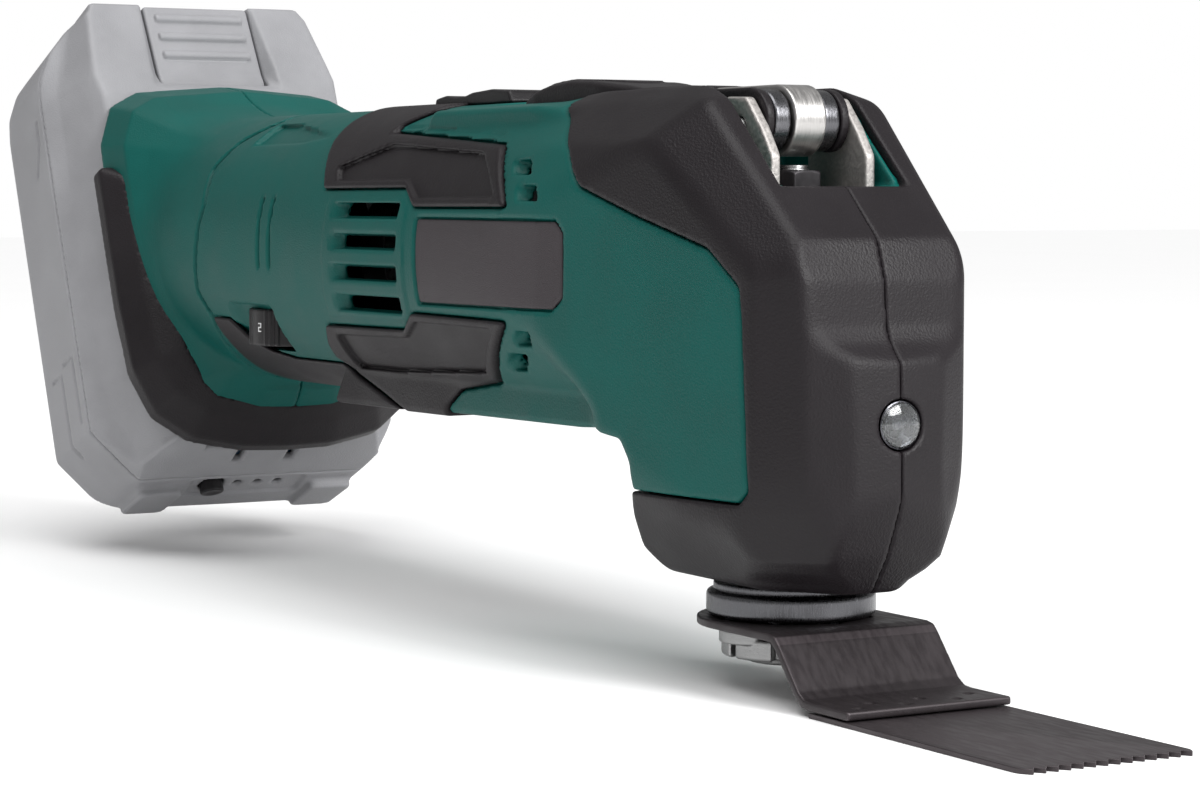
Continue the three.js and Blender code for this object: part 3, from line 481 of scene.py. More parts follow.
def barrel_section(y, z):
    p = BARREL["power"]
    wide = (np.abs(y) / BARREL["half_width"]) ** p
    tall = (np.abs(z - BARREL["z"]) / BARREL["half_height"]) ** p
    return ((wide + tall) ** (1 / p) - 1) * BARREL["half_width"]


def deck(x, y, z):
    """The raised flat on top of the barrel that carries the slide switch."""
    half = DECK_SHAPE["half"]
    flank = np.abs(y) - half
    roof = (z - DECK_SHAPE["eaves"] - DECK_SHAPE["pitch"] * (half - np.abs(y))) / 1.03
    rear = (DECK_SHAPE["rear"] - x) * 0.8 + 0.6 * (z - DECK_SHAPE["eaves"])
    return smax(smax(flank, roof, 1.2), rear, 2.0)


def head_section(x, y, z):
    facet = 0.5 * x + 0.867 * np.abs(y) + SHOULDER["slope"] * np.maximum(z - SHOULDER["start"], 0)
    out = smax(HEAD_FRONT(y, z), (facet - SHOULDER["plane"]) / 1.08, 1.6)
    corner = 0.598 * x + 0.802 * np.abs(y) - np.interp(z, *zip(*CORNER_SIZE))
    return smax(out, corner, 1.2)


def head_profile(x, y, z):
    """The head's side outline, its rear edge curving forward towards the sides."""
    bow = 0.014 * y * y * smoothstep(z, 56, 46) * smoothstep(x, 12, -4)
    return HEAD_SIDE(x - bow, z)


def pack_frame(x, z):
    """(depth behind the interface plane, distance along the pack) of a point."""
    c, s = math.cos(TILT), math.sin(TILT)
    return FOOT_PLANE - (c * x + s * z), c * z - s * x


FOOT = Outline(mirrored([
    (0.01, 113), (11, 113.4), (24.5, 117), (30.8, 123), (34.3, 133), (35.9, 148), (36.3, 170),
    (35.7, 189),
    (31.6, 199.4), (24, 203.6), (0.01, 205.6),
]), soft=0.6)


def foot(x, y, z):
    depth, along = pack_frame(x, z)
    ahead = -depth
    level = along + ahead * math.tan(TILT)
    low = smoothstep(level, 186, 132)
    ahead = np.maximum(ahead, 0)
    upper = 0.15 * ahead + 0.5 * np.maximum(ahead - 12, 0)
    shrink = (1 - low) * upper + low * (0.25 * ahead + 0.026 * ahead ** 2)
    flare = FOOT(y, level) + np.minimum(shrink, 30)
    return smax(flare, ahead - 62, 2)


def skin(x, y, z):
    """The closed outer surface of the tool without the pack, open towards the rear."""
    delay = 24 * smoothstep(z, 70, 46)
    blend = smoothstep(x, -62 + delay, -40 + delay)
    section = smin(barrel_section(y, z), deck(x, y, z), 0.8) * (1 - blend) + head_section(x, y, z) * blend
    tube = smax(section, head_profile(x, y, z), 1.4)
    tube = smax(tube, HEAD_PLAN(y, x), 1.5)
    tube = smax(tube, BARREL["rear"] - x, 2)
    return smin(tube, foot(x, y, z), 5)


# ---- regions on the side of the tool
GREEN_AREA = Outline([
    (-330, 150), (-56, 150), (-50.3, 104.1), (-34.3, 95.1), (-26.4, 88.3), (-10.1, 83), (9.4, 77.5),
    (17.8, 70.9), (18.4, 66.3), (19.9, 39.4), (20.1, 35.6), (17.7, 33.2), (-40, 33.2), (-70, 10),
    (-330, -60),
], soft=0.4)
GRIP_UPPER = Outline([
    (-136.8, 88.2), (-141.3, 93.4), (-146, 98.5), (-148.5, 103), (-149, 122), (-112, 122), (-114, 104.6),
    (-119.3, 101.6), (-119.8, 100.1), (-90, 98.4), (-64.4, 96.8), (-58.9, 91.7), (-51.6, 84.5),
    (-91.6, 84.4), (-97.3, 88.3),
], soft=0.35)
GRIP_LOWER = Outline([
    (-138.5, 59), (-142.5, 55), (-144, 51.3), (-138, 48), (-126, 44.6), (-116, 41.5), (-114, 32),
    (-96, 32),
    (-96, 43.6), (-90, 47.2), (-72.1, 49.7), (-67.4, 53), (-61.7, 57.2), (-53.8, 62.6), (-94.1, 63),
    (-100, 59.4),
], soft=0.35)
POCKET_UPPER = Outline([
    (-134, 93), (-114, 97.6), (-69.6, 95.2), (-63.4, 91.4), (-57, 86.4), (-91.6, 86.2), (-98, 90),
    (-131, 90),
], soft=0.5)
POCKET_LOWER = Outline([
    (-135, 57), (-101, 57.6), (-93.6, 61.2), (-59.6, 61.0), (-67.5, 55.4), (-73.2, 51.6), (-118, 49.6),
    (-136, 49.5),
], soft=0.5)
TRIM = Outline([
    (-202.3, 58.7), (-192.4, 58.5), (-187.2, 54.3), (-179.9, 51.6), (-168.9, 50.2), (-144.6, 50.2),
    (-138.6, 47.7), (-126.6, 44.3), (-117, 41.3), (-115, 32), (-190, 32), (-203, 45.4), (-201.6, 50.7),
], soft=0.35)
LABEL = Outline([(-90, 65.1), (-90, 82.3), (-34, 82.1), (-31.6, 79.8), (-31.8, 67.6), (-35, 65.3)],
    soft=0.25)
VENT_FRAME = Outline([
    (-133, 86), (-97.6, 86), (-94.8, 83.8), (-95.2, 63.8), (-98.6, 61.4), (-135, 61),
], soft=0.4)
STEP_LINE = [(-118, 101.0), (-112, 101.0), (-90, 100.0), (-68, 98.9)]
NOTCHES = Outline([(-191, 98.4), (-190.5, 103), (-177, 102.6), (-152, 99.8), (-166, 98.6)], soft=0.3)
LONG_VENTS = {"x": (-126.6, -98.6), "z": (64.3, 70.7, 77.2, 83.7), "half": 1.15}
SMALL_VENTS = [
    [(-56, 93.6), (-48.1, 93.6), (-45.3, 90.7), (-52.9, 90.7)],
    [(-50, 88.8), (-41.8, 88.6), (-39.2, 85.7), (-47.2, 85.7)],
    [(-51, 61), (-42.8, 61), (-46.3, 58.3), (-54.5, 58.2)],
    [(-58.2, 56.3), (-50.8, 56.3), (-55.2, 53.1), (-63.6, 52.9)],
]
SLITS = {"x": (-168.6, -162.7), "z": (70.6, 86.6), "half": 0.55}
COLLAR = [(-194, 106.8), (-193.5, 103.9), (-200.8, 99.1), (-204.6, 93.2), (-202, 84.4), (-203.6, 79.4),
          (-206.7, 64.6), (-203.1, 59.2), (-207.2, 50.4), (-213.3, 43.8), (-215.7, 39.9)]


def stroke(points, half):
    """An outline round an open line, half wide on each side."""
    line = np.asarray(points, float)
    ahead = np.gradient(line, axis=0)
    side = np.stack([-ahead[:, 1], ahead[:, 0]], 1)
    side *= half / np.linalg.norm(side, axis=1)[:, None]
    return Outline(np.concatenate([line + side, (line - side)[::-1]]), soft=0.2, step=0.25)


COLLAR_LINE = stroke(COLLAR, 0.7)
STEP_OUTLINE = stroke(STEP_LINE, 0.3)
SMALL_OUTLINES = [Outline(points, soft=0.3, step=0.25) for points in SMALL_VENTS]


def carve_vents(out, x, y, z):
    out = emboss(out, VENT_FRAME(x, z), 0.25, 0.4)
    left, right = LONG_VENTS["x"]
    for level in LONG_VENTS["z"]:
        pocket = smax(box_field(x, left - 4, right + 0.3), np.abs(z - level) - LONG_VENTS["half"] - 0.5,
            0.6)
        out = engrave(out, pocket, 2.0 * smoothstep(x, left - 4, left + 1.5) + 0.15, 0.4)
        slot = smax(box_field(x, left, right), np.abs(z - level) - LONG_VENTS["half"], 0.8)
        out = smax(out, -np.maximum(slot, 20 - np.abs(y)), 0.3)
    for outline, points in zip(SMALL_OUTLINES, SMALL_VENTS):
        region = outline(x, z)
        centre = sum(p[0] for p in points) / len(points)
        out = engrave(out, region, 2.4 * smoothstep(x, centre - 5, centre) + 0.3, 0.3)
        out = smax(out, -meet(region + 0.3, centre - 1.2 - x, 18 - np.abs(y)), 0.3)
    return out


DIAL_WINDOW = Outline([(-187.2, 54.3), (-184, 60.8), (-165.4, 61.4), (-174, 53)], soft=0.3, step=0.2)


def carve_green(out, x, y, z, dial):
    out = engrave(out, GRIP_UPPER(x, z) - 0.2, 1.5, 0.3)
    out = engrave(out, GRIP_LOWER(x, z) - 0.2, 1.5, 0.3)
    out = engrave(out, TRIM(x, z) - 0.2, 1.2, 0.3)
    out = engrave(out, LABEL(x, z) - 0.25, 1.1, 0.3)
    out = engrave(out, COLLAR_LINE(x, z), 1.1, 0.3)
    out = engrave(out, STEP_OUTLINE(x, z), 0.4, 0.3)
    out = engrave(out, NOTCHES(x, z), 0.9 * smoothstep(x, -150, -166) + 0.1, 0.7)
    for place in SLITS["x"]:
        line = smax(np.abs(x - place) - SLITS["half"], box_field(z, *SLITS["z"]), 0.4)
        out = engrave(out, line, 1.5, 0.2)
    out = carve_vents(out, x, y, z)
    if dial:
        bed = smax(box_field(x, -190.5, -166.2), np.abs(z - DIAL["z"]) - 5.2, 1.5)
        out = engrave(out, bed, 1.8 * smoothstep(x, -192, -184), 0.5)
        out = smax(out, -np.maximum(DIAL_WINDOW(x, z), y + 15), 0.4)
    return out


def lever_recess(x, y, z, half):
    front = np.maximum(RECESS["step"] - x, RECESS["deck"] - z)
    rear = np.maximum(box_field(x, RECESS["rear"], RECESS["step"] + 6), RECESS["floor"] - z)
    return smax(np.minimum(front, rear), np.abs(y) - half, 0.8)


def tray(x, y, z, wall):
    """Floor and side walls under the lever, as a solid block round the recess."""
    front = meet(RECESS["step"] - wall - x, x - 26, RECESS["deck"] - wall - z)
    rear = np.maximum(box_field(x, RECESS["rear"] - wall, RECESS["step"]), RECESS["floor"] - wall - z)
    return np.maximum(np.minimum(front, rear), np.abs(y) - RECESS["half"] - wall)


def front_tray(x, y, z, shell):
    """The green dish round the clamp bolt's nut, just below the rim of the cover's opening."""
    side = smax(np.abs(y) - RECESS["half"] - 1.0, box_field(x, -30, 24), 0.4)
    dish = meet(side, RECESS["deck"] - 1.8 - z, shell + 1.2)
    seat = meet(box_field(x, -9.4, 10.4), np.abs(y) - 11.2, z - 95)
    return smax(dish, -np.minimum(seat, np.hypot(x, y) - 6.0), 0.3)


SCREWS = [(-160, 90), (-40.5, 91), (-40, 52), (-214, 60)]


def housing(side):
    """The green half on side -1 (left, with the dial) or 1 (right, with the screws)."""
    def field(x, y, z):
        shell = skin(x, y, z)
        inner = shell + WALL
        out = carve_green(shell, x, y, z, side < 0)
        hollow = np.maximum(inner, -tray(x, y, z, 1.8))
        out = smax(out, -hollow, 0.4)
        switch = np.maximum(box_field(x, -122, -94), np.abs(y) - 3.6)
        out = smax(out, -np.maximum(switch, 100 - z), 0.4)
        out = smax(out, GREEN_AREA(x, z) + 0.2, 0.6)
        out = np.minimum(out, front_tray(x, y, z, shell))
        out = smax(out, -lever_recess(x, y, z, RECESS["half"]), 0.4)
        if side > 0:
            for sx, sz in SCREWS:
                radius = np.hypot(x - sx, z - sz)
                boss = np.maximum(radius - 5.2, shell)
                out = np.minimum(out, boss)
                out = smax(out, -np.maximum(radius - 3.5, 18.5 - y), 0.5)
        depth, _ = pack_frame(x, z)
        out = smax(out, depth + 0.6, 0.8)
        return smax(out, SEAM - side * y, 0.15)
    return field


def cover(side):
    """The black head cover's half."""
    def field(x, y, z):
        shell = skin(x, y, z)
        out = smax(shell - 0.25, -(shell + WALL), 0.4)
        out = smax(out, 0.2 - GREEN_AREA(x, z), 0.6)
        out = smax(out, -lever_recess(x, y, z, RECESS["cover"]), 0.5)
        ring = np.hypot(y, z - LED["z"])
        out = smax(out, -np.maximum(ring - LED["radius"] - 0.35, 20 - x), 0.5)
        out = smax(out, -np.maximum(np.hypot(x, y) - 10.4, z - 24), 0.8)
        return smax(out, SEAM - side * y, 0.15)
    return field


def make_housing():
    for hand, side in HANDS:
        span = (-38.6, 0.4) if side < 0 else (-0.4, 38.6)
        moulded(f"shell_{hand}", housing(side), (-268, span[0], 22), (26, span[1], 116), 0.75,
                GREEN, "housing", [f"housing_{hand}"])
        span = (-33.4, 0.4) if side < 0 else (-0.4, 33.4)
        moulded(f"cover_{hand}", cover(side), (-62, span[0], 15), (37, span[1], 110), 0.6,
                BLACK, "housing", [f"head_cover_{hand}"])


make_housing()


# ---- grips, trims, label plates and bumper
def facing(side, edge, low, high):
    """The low and high corners of a box on one side of the seam."""
    near, far = (-edge, 0.4) if side < 0 else (-0.4, edge)
    return (low[0], near, low[1]), (high[0], far, high[1])


def grip(region, pocket, side, trim=None):
    """A soft grip let into the barrel, with a sunk panel; the lower one carries the foot's trim too."""
    def field(x, y, z):
        shell = skin(x, y, z)
        top = engrave(shell - 0.7, pocket(x, z), 1.1, 0.45)
        out = smax(top, -(shell + 1.2), 0.3)
        out = smax(out, region(x, z) + 0.15, 0.7)
        knob_bed = meet(box_field(x, -131.5, -88), np.abs(y) - 7.5, 106.7 - z)
        out = smax(out, -knob_bed, 0.5)
        if trim:
            band = smax(smax(shell - 0.5, -(shell + 0.9), 0.3), trim(x, z) + 0.1, 0.7)
            out = np.minimum(out, band)
        return smax(out, SEAM - side * y, 0.3)
    return field


def label_plate(side):
    def field(x, y, z):
        shell = skin(x, y, z)
        plate = smax(shell + 0.25, -(shell + 0.95), 0.2)
        return smax(smax(plate, LABEL(x, z) + 0.2, 0.3), SEAM - side * y, 0.3)
    return field


BUMPER = Outline(mirrored([
    (0.01, 107.4), (12, 107.8), (25, 110.6), (33.5, 117), (37.6, 128), (38.6, 145), (38.6, 181),
]), soft=0.8)


def bumper(x, y, z):
    depth, along = pack_frame(x, z)
    ahead = -depth
    wide = BUMPER(y, along)
    out = smax(wide, (wide + 0.83 * (ahead - 5)) / 1.3, 0.3)
    out = smax(out, (wide + 1.8 * (ahead - 8)) / 2.06, 0.4)
    out = smax(out, -0.8 - skin(x, y, z), 0.3)
    return smax(smax(out, 0.6 - ahead, 0.5), ahead - 14, 0.8)


def make_overlays():
    for hand, side in HANDS:
        moulded(f"grip_pad_upper_{hand}", grip(GRIP_UPPER, POCKET_UPPER, side),
                *facing(side, 34, (-151, 83), (-50, 110)), 0.55, BLACK, "housing", [f"grip_upper_{hand}"])
        moulded(f"grip_pad_lower_{hand}", grip(GRIP_LOWER, POCKET_LOWER, side, TRIM),
                *facing(side, 38, (-207, 38), (-52, 66)), 0.55, BLACK, "housing", [f"grip_lower_{hand}"])
        moulded(f"label_{hand}", label_plate(side),
                *facing(side, 34, (-92, 63), (-30, 84)), 0.5, PLATE, "housing", [f"side_plate_{hand}"])
    moulded("bumper", bumper, (-263, -40, 10), (-170, 40, 95), 0.75, BLACK, "housing", ["foot_bumper"])


make_overlays()


# ---- small solids
def disc(u, v, radius):
    return np.hypot(u, v) - radius


def hexagon(u, v, corner):
    flat = corner * math.cos(math.pi / 6)
    slant = np.abs(u) * 0.866 + np.abs(v) * 0.5
    return np.maximum(slant, np.abs(v)) - flat


def crisp(item, degrees=32):
    """Keeps edges steeper than the angle sharp in shading."""
    item.data.set_sharp_from_angle(angle=math.radians(degrees))
    return item


def lathe(name, profile, place, axis, material, body, replaced=(), sides=96):
    """A closed turned piece: profile holds (radius, height) from one axis point to the other."""
    turn = Vector((0, 0, 1)).rotation_difference(Vector(axis)).to_matrix()
    points, faces, rings = [], [], []
    for radius, height in profile:
        count = 1 if radius == 0 else sides
        rings.append((len(points), count))
        for k in range(count):
            angle = 2 * math.pi * k / sides
            spot = turn @ Vector((radius * math.cos(angle), radius * math.sin(angle), height))
            points.append(spot + Vector(place))
    for (a, na), (b, nb) in zip(rings, rings[1:]):
        for k in range(sides):
            quad = [a + k % na, a + (k + 1) % na, b + (k + 1) % nb, b + k % nb]
            faces.append(tuple(dict.fromkeys(quad)))
    return crisp(make_piece(name, points, faces, material, body, replaced), 25)


# ---- clamp lever and its bracket
EAR = Outline([(-9, 84.6), (-9, 101), (-5, 104.6), (1.5, 104.4), (6.5, 99), (10, 94), (10, 84.6)],
              soft=0.4, step=0.2)
HANDLE_SIDE = Outline([
    (-19, 104.9), (-19, 106.6), (-23, 107.3), (-41, 107.4), (-47, 108.2), (-56, 109.2), (-64, 109.5),
    (-72, 108.9),
    (-78, 107.8), (-87.4, 106.0), (-88, 104.6), (-85, 103.6), (-47, 103.4), (-41, 104.6),
], soft=0.4, step=0.25)
HANDLE_PLAN = Outline(mirrored([(8.4, -18), (8.4, -44), (10.8, -52), (11, -78), (8.6, -86), (5, -89)]),
    soft=0.8)


def round_pin(x, z, radius):
    """Distance to a round bar on the lever's axis."""
    return disc(x - LEVER["x"], z - LEVER["z"], radius)


def cam(x, z, radius):
    """Distance to a reel that sits off the lever's axis by its throw."""
    return disc(x - LEVER["x"], z - LEVER["z"] - LEVER["throw"], radius)


def bracket(x, y, z):
    ears = smax(EAR(x, z), np.abs(np.abs(y) - 10.15) - 1.0, 0.5)
    base = smax(np.maximum(box_field(x, -9, 10), np.abs(y) - 10.8), box_field(z, 83, 85), 0.4)
    out = smin(ears, smax(base, -disc(x, y, 6.6), 0.3), 1.2)
    return smax(out, -round_pin(x, z, LEVER["bore"]), 0.2)


def strap(x, y, z):
    reel = cam(x, z, LEVER["band"])
    strip = np.maximum(box_field(x, -42, LEVER["x"]), box_field(z, 105.3, 106.8))
    out = smax(np.minimum(reel, strip), np.abs(y) - 3.3, 0.25)
    return smax(out, -round_pin(x, z, LEVER["bore"]), 0.2)


def handle(x, y, z):
    out = smax(HANDLE_SIDE(x, z), HANDLE_PLAN(y, x), 1.6)
    dome = np.hypot((x + 69) / 17, y / 9.5) - 1
    out = emboss(out, np.maximum(dome * 9, 105 - z), 0.25, 0.5)
    under = meet(HANDLE_PLAN(y, x) + 1.8, box_field(x, -84, -24), z - 105.8)
    ribs = np.abs((x + 34) % 12 - 6) - 0.6
    out = smax(out, -np.maximum(under, -ribs), 0.3)
    arm = np.maximum(box_field(x, -24, LEVER["x"]), box_field(z, 101.8, 106.2))
    arm = np.minimum(arm, cam(x, z, LEVER["arm"]))
    arm = smax(arm, box_field(np.abs(y), 7.2, 8.85), 0.3)
    out = smin(out, smax(arm, 2.3 - np.hypot(x - LEVER["x"], z - LEVER["z"]), 0.2), 0.5)
    band = meet(np.abs(y) - 3.5, box_field(x, -43, -10), box_field(z, 100, 106.95))
    return smax(out, -band, 0.2)


def roller(side):
    def field(x, y, z):
        reel = cam(x, z, LEVER["roller"])
        out = smax(reel, np.abs(y - side * 5.25) - 1.7, 0.6)
        return smax(out, -round_pin(x, z, LEVER["bore"]), 0.2)
    return field


def make_lever():
    moulded("bracket", bracket, (-10, -11.5, 82), (11, 11.5, 105), 0.34, CAST, "housing",
        ["lever_bracket"])
    moulded("strap", strap, (-43, -4, 93), (7, 4, 107.5), 0.3, BRUSHED, "lever", ["lever_strap"])
    moulded("handle", handle, (-90, -12, 94), (6.5, 12, 110.5), 0.4, BLACK, "lever", ["lever_handle"])
    for hand, side in HANDS:
        middle_y = side * 5.25
        moulded(f"roller_{hand}", roller(side), (-7, middle_y - 3, 94), (6, middle_y + 3, 107), 0.3,
                TURNED, "lever", [f"cam_roller_{hand}"])


make_lever()


# ---- output flange, clamp bolt, adapter and blade
PINS = {"count": 8, "circle": 13.3, "radius": 1.2, "hole": 1.6}


def pins(x, y, radius):
    """Distance to the nearest of the eight posts on the pin circle."""
    turn = 2 * math.pi / PINS["count"]
    angle = (np.arctan2(y, x) + turn / 2) % turn - turn / 2
    reach = np.hypot(x, y)
    return np.hypot(reach * np.cos(angle) - PINS["circle"], reach * np.sin(angle)) - radius


def flange(x, y, z):
    reach = np.hypot(x, y)
    rim = smax(reach - FLANGE["radius"], box_field(z, FLANGE["low"], FLANGE["high"]), 1.1)
    neck = smax(reach - 14.2, box_field(z, 14, 16.7), 0.4)
    posts = smax(pins(x, y, PINS["radius"]), box_field(z, 8.7, 12), 0.5)
    out = np.minimum(smin(rim, neck, 0.5), posts)
    return np.maximum(out, 4.5 - reach)


def bolt(x, y, z):
    reach, angle = np.hypot(x, y), np.arctan2(y, x)
    lobes = smax(reach - 13.0 - 1.5 * np.cos(4 * angle), box_field(z, 6.0, 8.6), 0.5)
    body = smax(reach - 12.7, box_field(z, 3.2, 7.2), 0.7)
    slots = np.maximum(reach * np.abs(np.sin(4 * angle)) / 4 - 0.9, 9.6 - reach)
    body = smax(body, -slots, 0.3)
    boss = smax(reach - 8.2, box_field(z, 2, 6), 0.8)
    head = smin(np.minimum(lobes, body), boss, 0.4)
    head = smax(head, -smax(hexagon(x, y, 3.4), z - 4.4, 0.2), 0.3)
    shank = smax(reach - 4, box_field(z, 4.6, 84), 0.4)
    thread = 2.75 + 0.16 * np.sin(2 * math.pi * z / 0.8)
    tip = smax(reach - thread, box_field(z, 80, 92.3), 0.5)
    return join(head, shank, tip)


def nut(x, y, z):
    reach = np.hypot(x, y)
    body = smax(hexagon(y, x, 5.6), box_field(z, 86.4, 91.4), 0.25)
    body = smax(body, (reach - 5.4 + 1.3 * (np.abs(z - 88.9) - 2.1)) / 1.5, 0.2)
    return smax(body, 3.15 - reach, 0.2)


SHEET = Outline([
    (-20, 10.4), (18.6, 10.4), (20.6, 10.0), (22, 8.6), (28.2, 1.3), (30, 0.2), (32, 0), (43.3, 0),
    (43.3, -1.5), (31.4, -1.5), (28.8, -1.1), (27, 0.3), (20.6, 7.9), (19.4, 8.8), (18, 8.9), (-20, 8.9),
], soft=0.18, step=0.15)
SPOT_WELDS = [(40.4, -13), (37.0, -8.2), (40.4, -3), (37.0, 2.2), (40.4, 7.6), (37.0, 12.6)]


def adapter(x, y, z):
    reach = np.hypot(x, y)
    plan = np.where(x < 0, reach, np.abs(y)) - BLADE["half"]
    out = smax(SHEET(x, z), plan, 0.3)
    out = smax(out, -pins(x, y, PINS["hole"]), 0.15)
    out = smax(out, 5 - reach, 0.15)
    for spot_x, spot_y in SPOT_WELDS:
        out = smax(out, 1.7 - np.sqrt((x - spot_x) ** 2 + (y - spot_y) ** 2 + (z - 1.25) ** 2), 0.15)
    return out


def saw_outline():
    """Plan of the blade, counter-clockwise, with a row of raked teeth along its front."""
    half, tip = BLADE["half"], BLADE["tip"]
    pitch = 2 * half / BLADE["teeth"]
    points = [(31.5, half), (31.5, -half), (tip - BLADE["tooth"] - 1.2, -half)]
    for k in range(BLADE["teeth"]):
        y = -half + k * pitch
        points += [(tip - BLADE["tooth"], y + 0.12 * pitch), (tip, y + 0.62 * pitch),
            (tip - 0.25, y + 0.74 * pitch)]
    points += [(tip - BLADE["tooth"], half - 0.01), (tip - BLADE["tooth"] - 1.2, half)]
    return points


def make_plate(name, outline, low, high, material, body, replaced, bevel):
    count = len(outline)
    points = [(x, y, low) for x, y in outline] + [(x, y, high) for x, y in outline]
    faces = [tuple(reversed(range(count))), tuple(range(count, 2 * count))]
    faces += [(k, (k + 1) % count, count + (k + 1) % count, count + k) for k in range(count)]
    item = make_piece(name, points, faces, material, body, replaced)
    soften(item, bevel)
    return crisp(item)


def soften(item, width, segments=2):
    edge = item.modifiers.new("rounded_edges", "BEVEL")
    edge.width = width * MM
    edge.segments = segments
    edge.limit_method = "ANGLE"
    edge.angle_limit = math.radians(32)
    edge.harden_normals = False


def make_output():
    moulded("flange", flange, (-16, -16, 8), (16, 16, 17), 0.3, TURNED, "output", ["output_flange"])
    moulded("adapter", adapter, (-18, -18, -2), (44, 18, 11), 0.3, BLADE_METAL, "output",
        ["blade_adapter"])
    make_plate("blade", saw_outline(), -2.7, -1.8, BLADE_METAL, "output", ["saw_blade"], 0.12)
    moulded("bolt", bolt, (-14.8, -14.8, 1.5), (14.8, 14.8, 93), 0.3, STEEL, "clamp", ["clamp_bolt"])
    moulded("nut", nut, (-6, -6, 86), (6, 6, 91), 0.25, BLACKED, "clamp", ["clamp_nut"])


make_output()


# ---- battery pack
PACK_OUTLINE = Outline(mirrored([
    (0.01, PACK["low"]), (28, 106), (31, 108), (41.6, 121), (41.6, 208), (40.8, 215), (38, 221.6),
    (34, 226.5),
    (30, 229), (28.6, 232.4), (0.01, PACK["high"]),
]), soft=0.7)
LATCH_FACE = ((191, -0.2), (199.6, -0.2), (200.2, 4.2), (209, 4.2), (211.5, 5.0), (232, 8.2), (240, 9.6))
LATCH_HALF = 14.4
LUG = {"near": 17.5, "far": 29.0, "front": 24.0, "rear": 40.0, "drop": 1.3}
CHARGE = {"depth": 26.0, "y": -9.0, "radius": 3.0}


def pack_point(depth, y, along):
    """The reverse of pack_frame: a point of tool space."""
    c, s = math.cos(TILT), math.sin(TILT)
    normal = FOOT_PLANE - depth
    return (c * normal - s * along, y, s * normal + c * along)


def pack_outer(depth, y, along):
    wide = np.interp(depth, [0, 4, 15, 20], [32, 34, 38.4, 41.6])
    ends = 0.3 * np.maximum(129.6 - along, 0) + 0.25 * np.maximum(along - 209, 0)
    wide = wide - np.minimum(ends, 5) * (1 - smoothstep(depth, 13, 20))
    out = smax(PACK_OUTLINE(y, along), np.abs(y) - wide, 0.4)
    low = np.interp(depth, [0, 20, 31, 60], [112, 107.5, 105.7, 105.7])
    out = smax(out, low - along, 0.5)
    out = smax(out, (0.75 * (depth - 40) + PACK["low"] - along) / 1.25, 0.8)
    out = smax(out, np.maximum(-depth, 0.26 * (along - 203) - 0.965 * depth), 1.2)
    return smax(out, depth - PACK["depth"], 5)


def latch_funnel(depth, y, along):
    """The opening round the latch: a straight well below, a spreading funnel above the band."""
    face = np.interp(along, *zip(*LATCH_FACE))
    side = np.abs(y) - LATCH_HALF - 0.5
    spread = 0.75 * np.maximum(face + 0.6 - depth, 0)
    funnel = smax(side - spread, 209 - 1.2 * spread - along, 2.5)
    funnel = np.maximum(funnel, depth - face - 2)
    well = meet(side, 191.6 - along, box_field(depth, 3.4, 18.5))
    slot = meet(side, box_field(along, 191.6, 200.5), depth - 6)
    return join(funnel, well, slot)


def pack_surface(x, y, z):
    """The pack's outer surface, held inside the size of the real case."""
    depth, along = pack_frame(x, z)
    outer = smax(pack_outer(depth, y, along), PACK["rearmost"] - x, 0.6)
    return smax(outer, z - PACK["top"], 0.6)


def front_shell(x, y, z):
    depth, along = pack_frame(x, z)
    outer = pack_surface(x, y, z)
    out = smax(outer, depth - PACK["split"] + 0.2, 0.5)
    funnel = latch_funnel(depth, y, along)
    walled = meet(outer + 2.4, 9.2 - depth, 2.2 - funnel)
    out = np.maximum(out, -walled)
    out = smax(out, -funnel, 0.4)
    rail = meet(box_field(depth, -4, 3.9), np.abs(y) - 14, along - 188.5)
    tongue = meet(box_field(depth, 2.8, 6.1), np.abs(y) - 17.5, along - 188.5)
    slots = meet(np.abs(np.abs(y) - 7) - 1.2, depth - 13.2, along - 164)
    return smax(out, -join(rail, tongue, slots), 0.4)


def rear_shell(x, y, z):
    depth, along = pack_frame(x, z)
    outer = pack_surface(x, y, z)
    lug_side = np.abs(np.abs(y) - (LUG["near"] + LUG["far"]) / 2) - (LUG["far"] - LUG["near"]) / 2
    lug = smax(smax(lug_side, box_field(depth, LUG["front"], LUG["rear"]), 2.0),
               box_field(along, PACK["low"] - LUG["drop"], PACK["low"] + 3), 0.8)
    out = smin(outer, lug, 1.0)
    panel = smax(np.abs(y) - 15.5, box_field(depth, 21.4, 30.6), 1.5)
    out = engrave(out, np.maximum(panel, along - 112), 0.8, 0.6)
    for place in (-2.0, 3.5, 9.0):
        dot = disc(y - place, depth - CHARGE["depth"], 1.3)
        out = engrave(out, np.maximum(dot, along - 112), 1.3, 0.2)
    for mark in SIDE_MARKS:
        out = engrave(out, np.maximum(mark(depth, along), 30 - np.abs(y)), 0.55, 0.4)
    inner = np.maximum(outer + 2.2, depth - PACK["depth"] + 2.2)
    out = np.maximum(out, -inner)
    out = smax(out, -np.maximum(disc(y - CHARGE["y"], depth - CHARGE["depth"], CHARGE["radius"] + 0.3),
                                along - 112), 0.3)
    return smax(out, PACK["split"] + 0.15 - depth, 0.5)


SIDE_MARKS = [
    stroke([(24.5, 206), (24.5, 200), (29, 192)], 0.7),
    stroke([(24, 124), (24, 142), (31, 142)], 0.5),
    stroke([(33, 118), (33, 140), (40, 140)], 0.5),
]


def latch(x, y, z):
    depth, along = pack_frame(x, z)
    face = np.interp(along, *zip(*LATCH_FACE))
    out = smax((face - depth) * 0.93, np.maximum(depth - 15, box_field(along, 192.2, 231.4)), 0.8)
    for rib in (216.6, 222.1, 227.6):
        bar = np.hypot(along - rib, np.interp(rib, *zip(*LATCH_FACE)) - depth) - 1.25
        out = smin(out, smax(bar, np.abs(y) - 12, 0.8), 0.5)
    return smax(out, np.abs(y) - LATCH_HALF, 0.9)


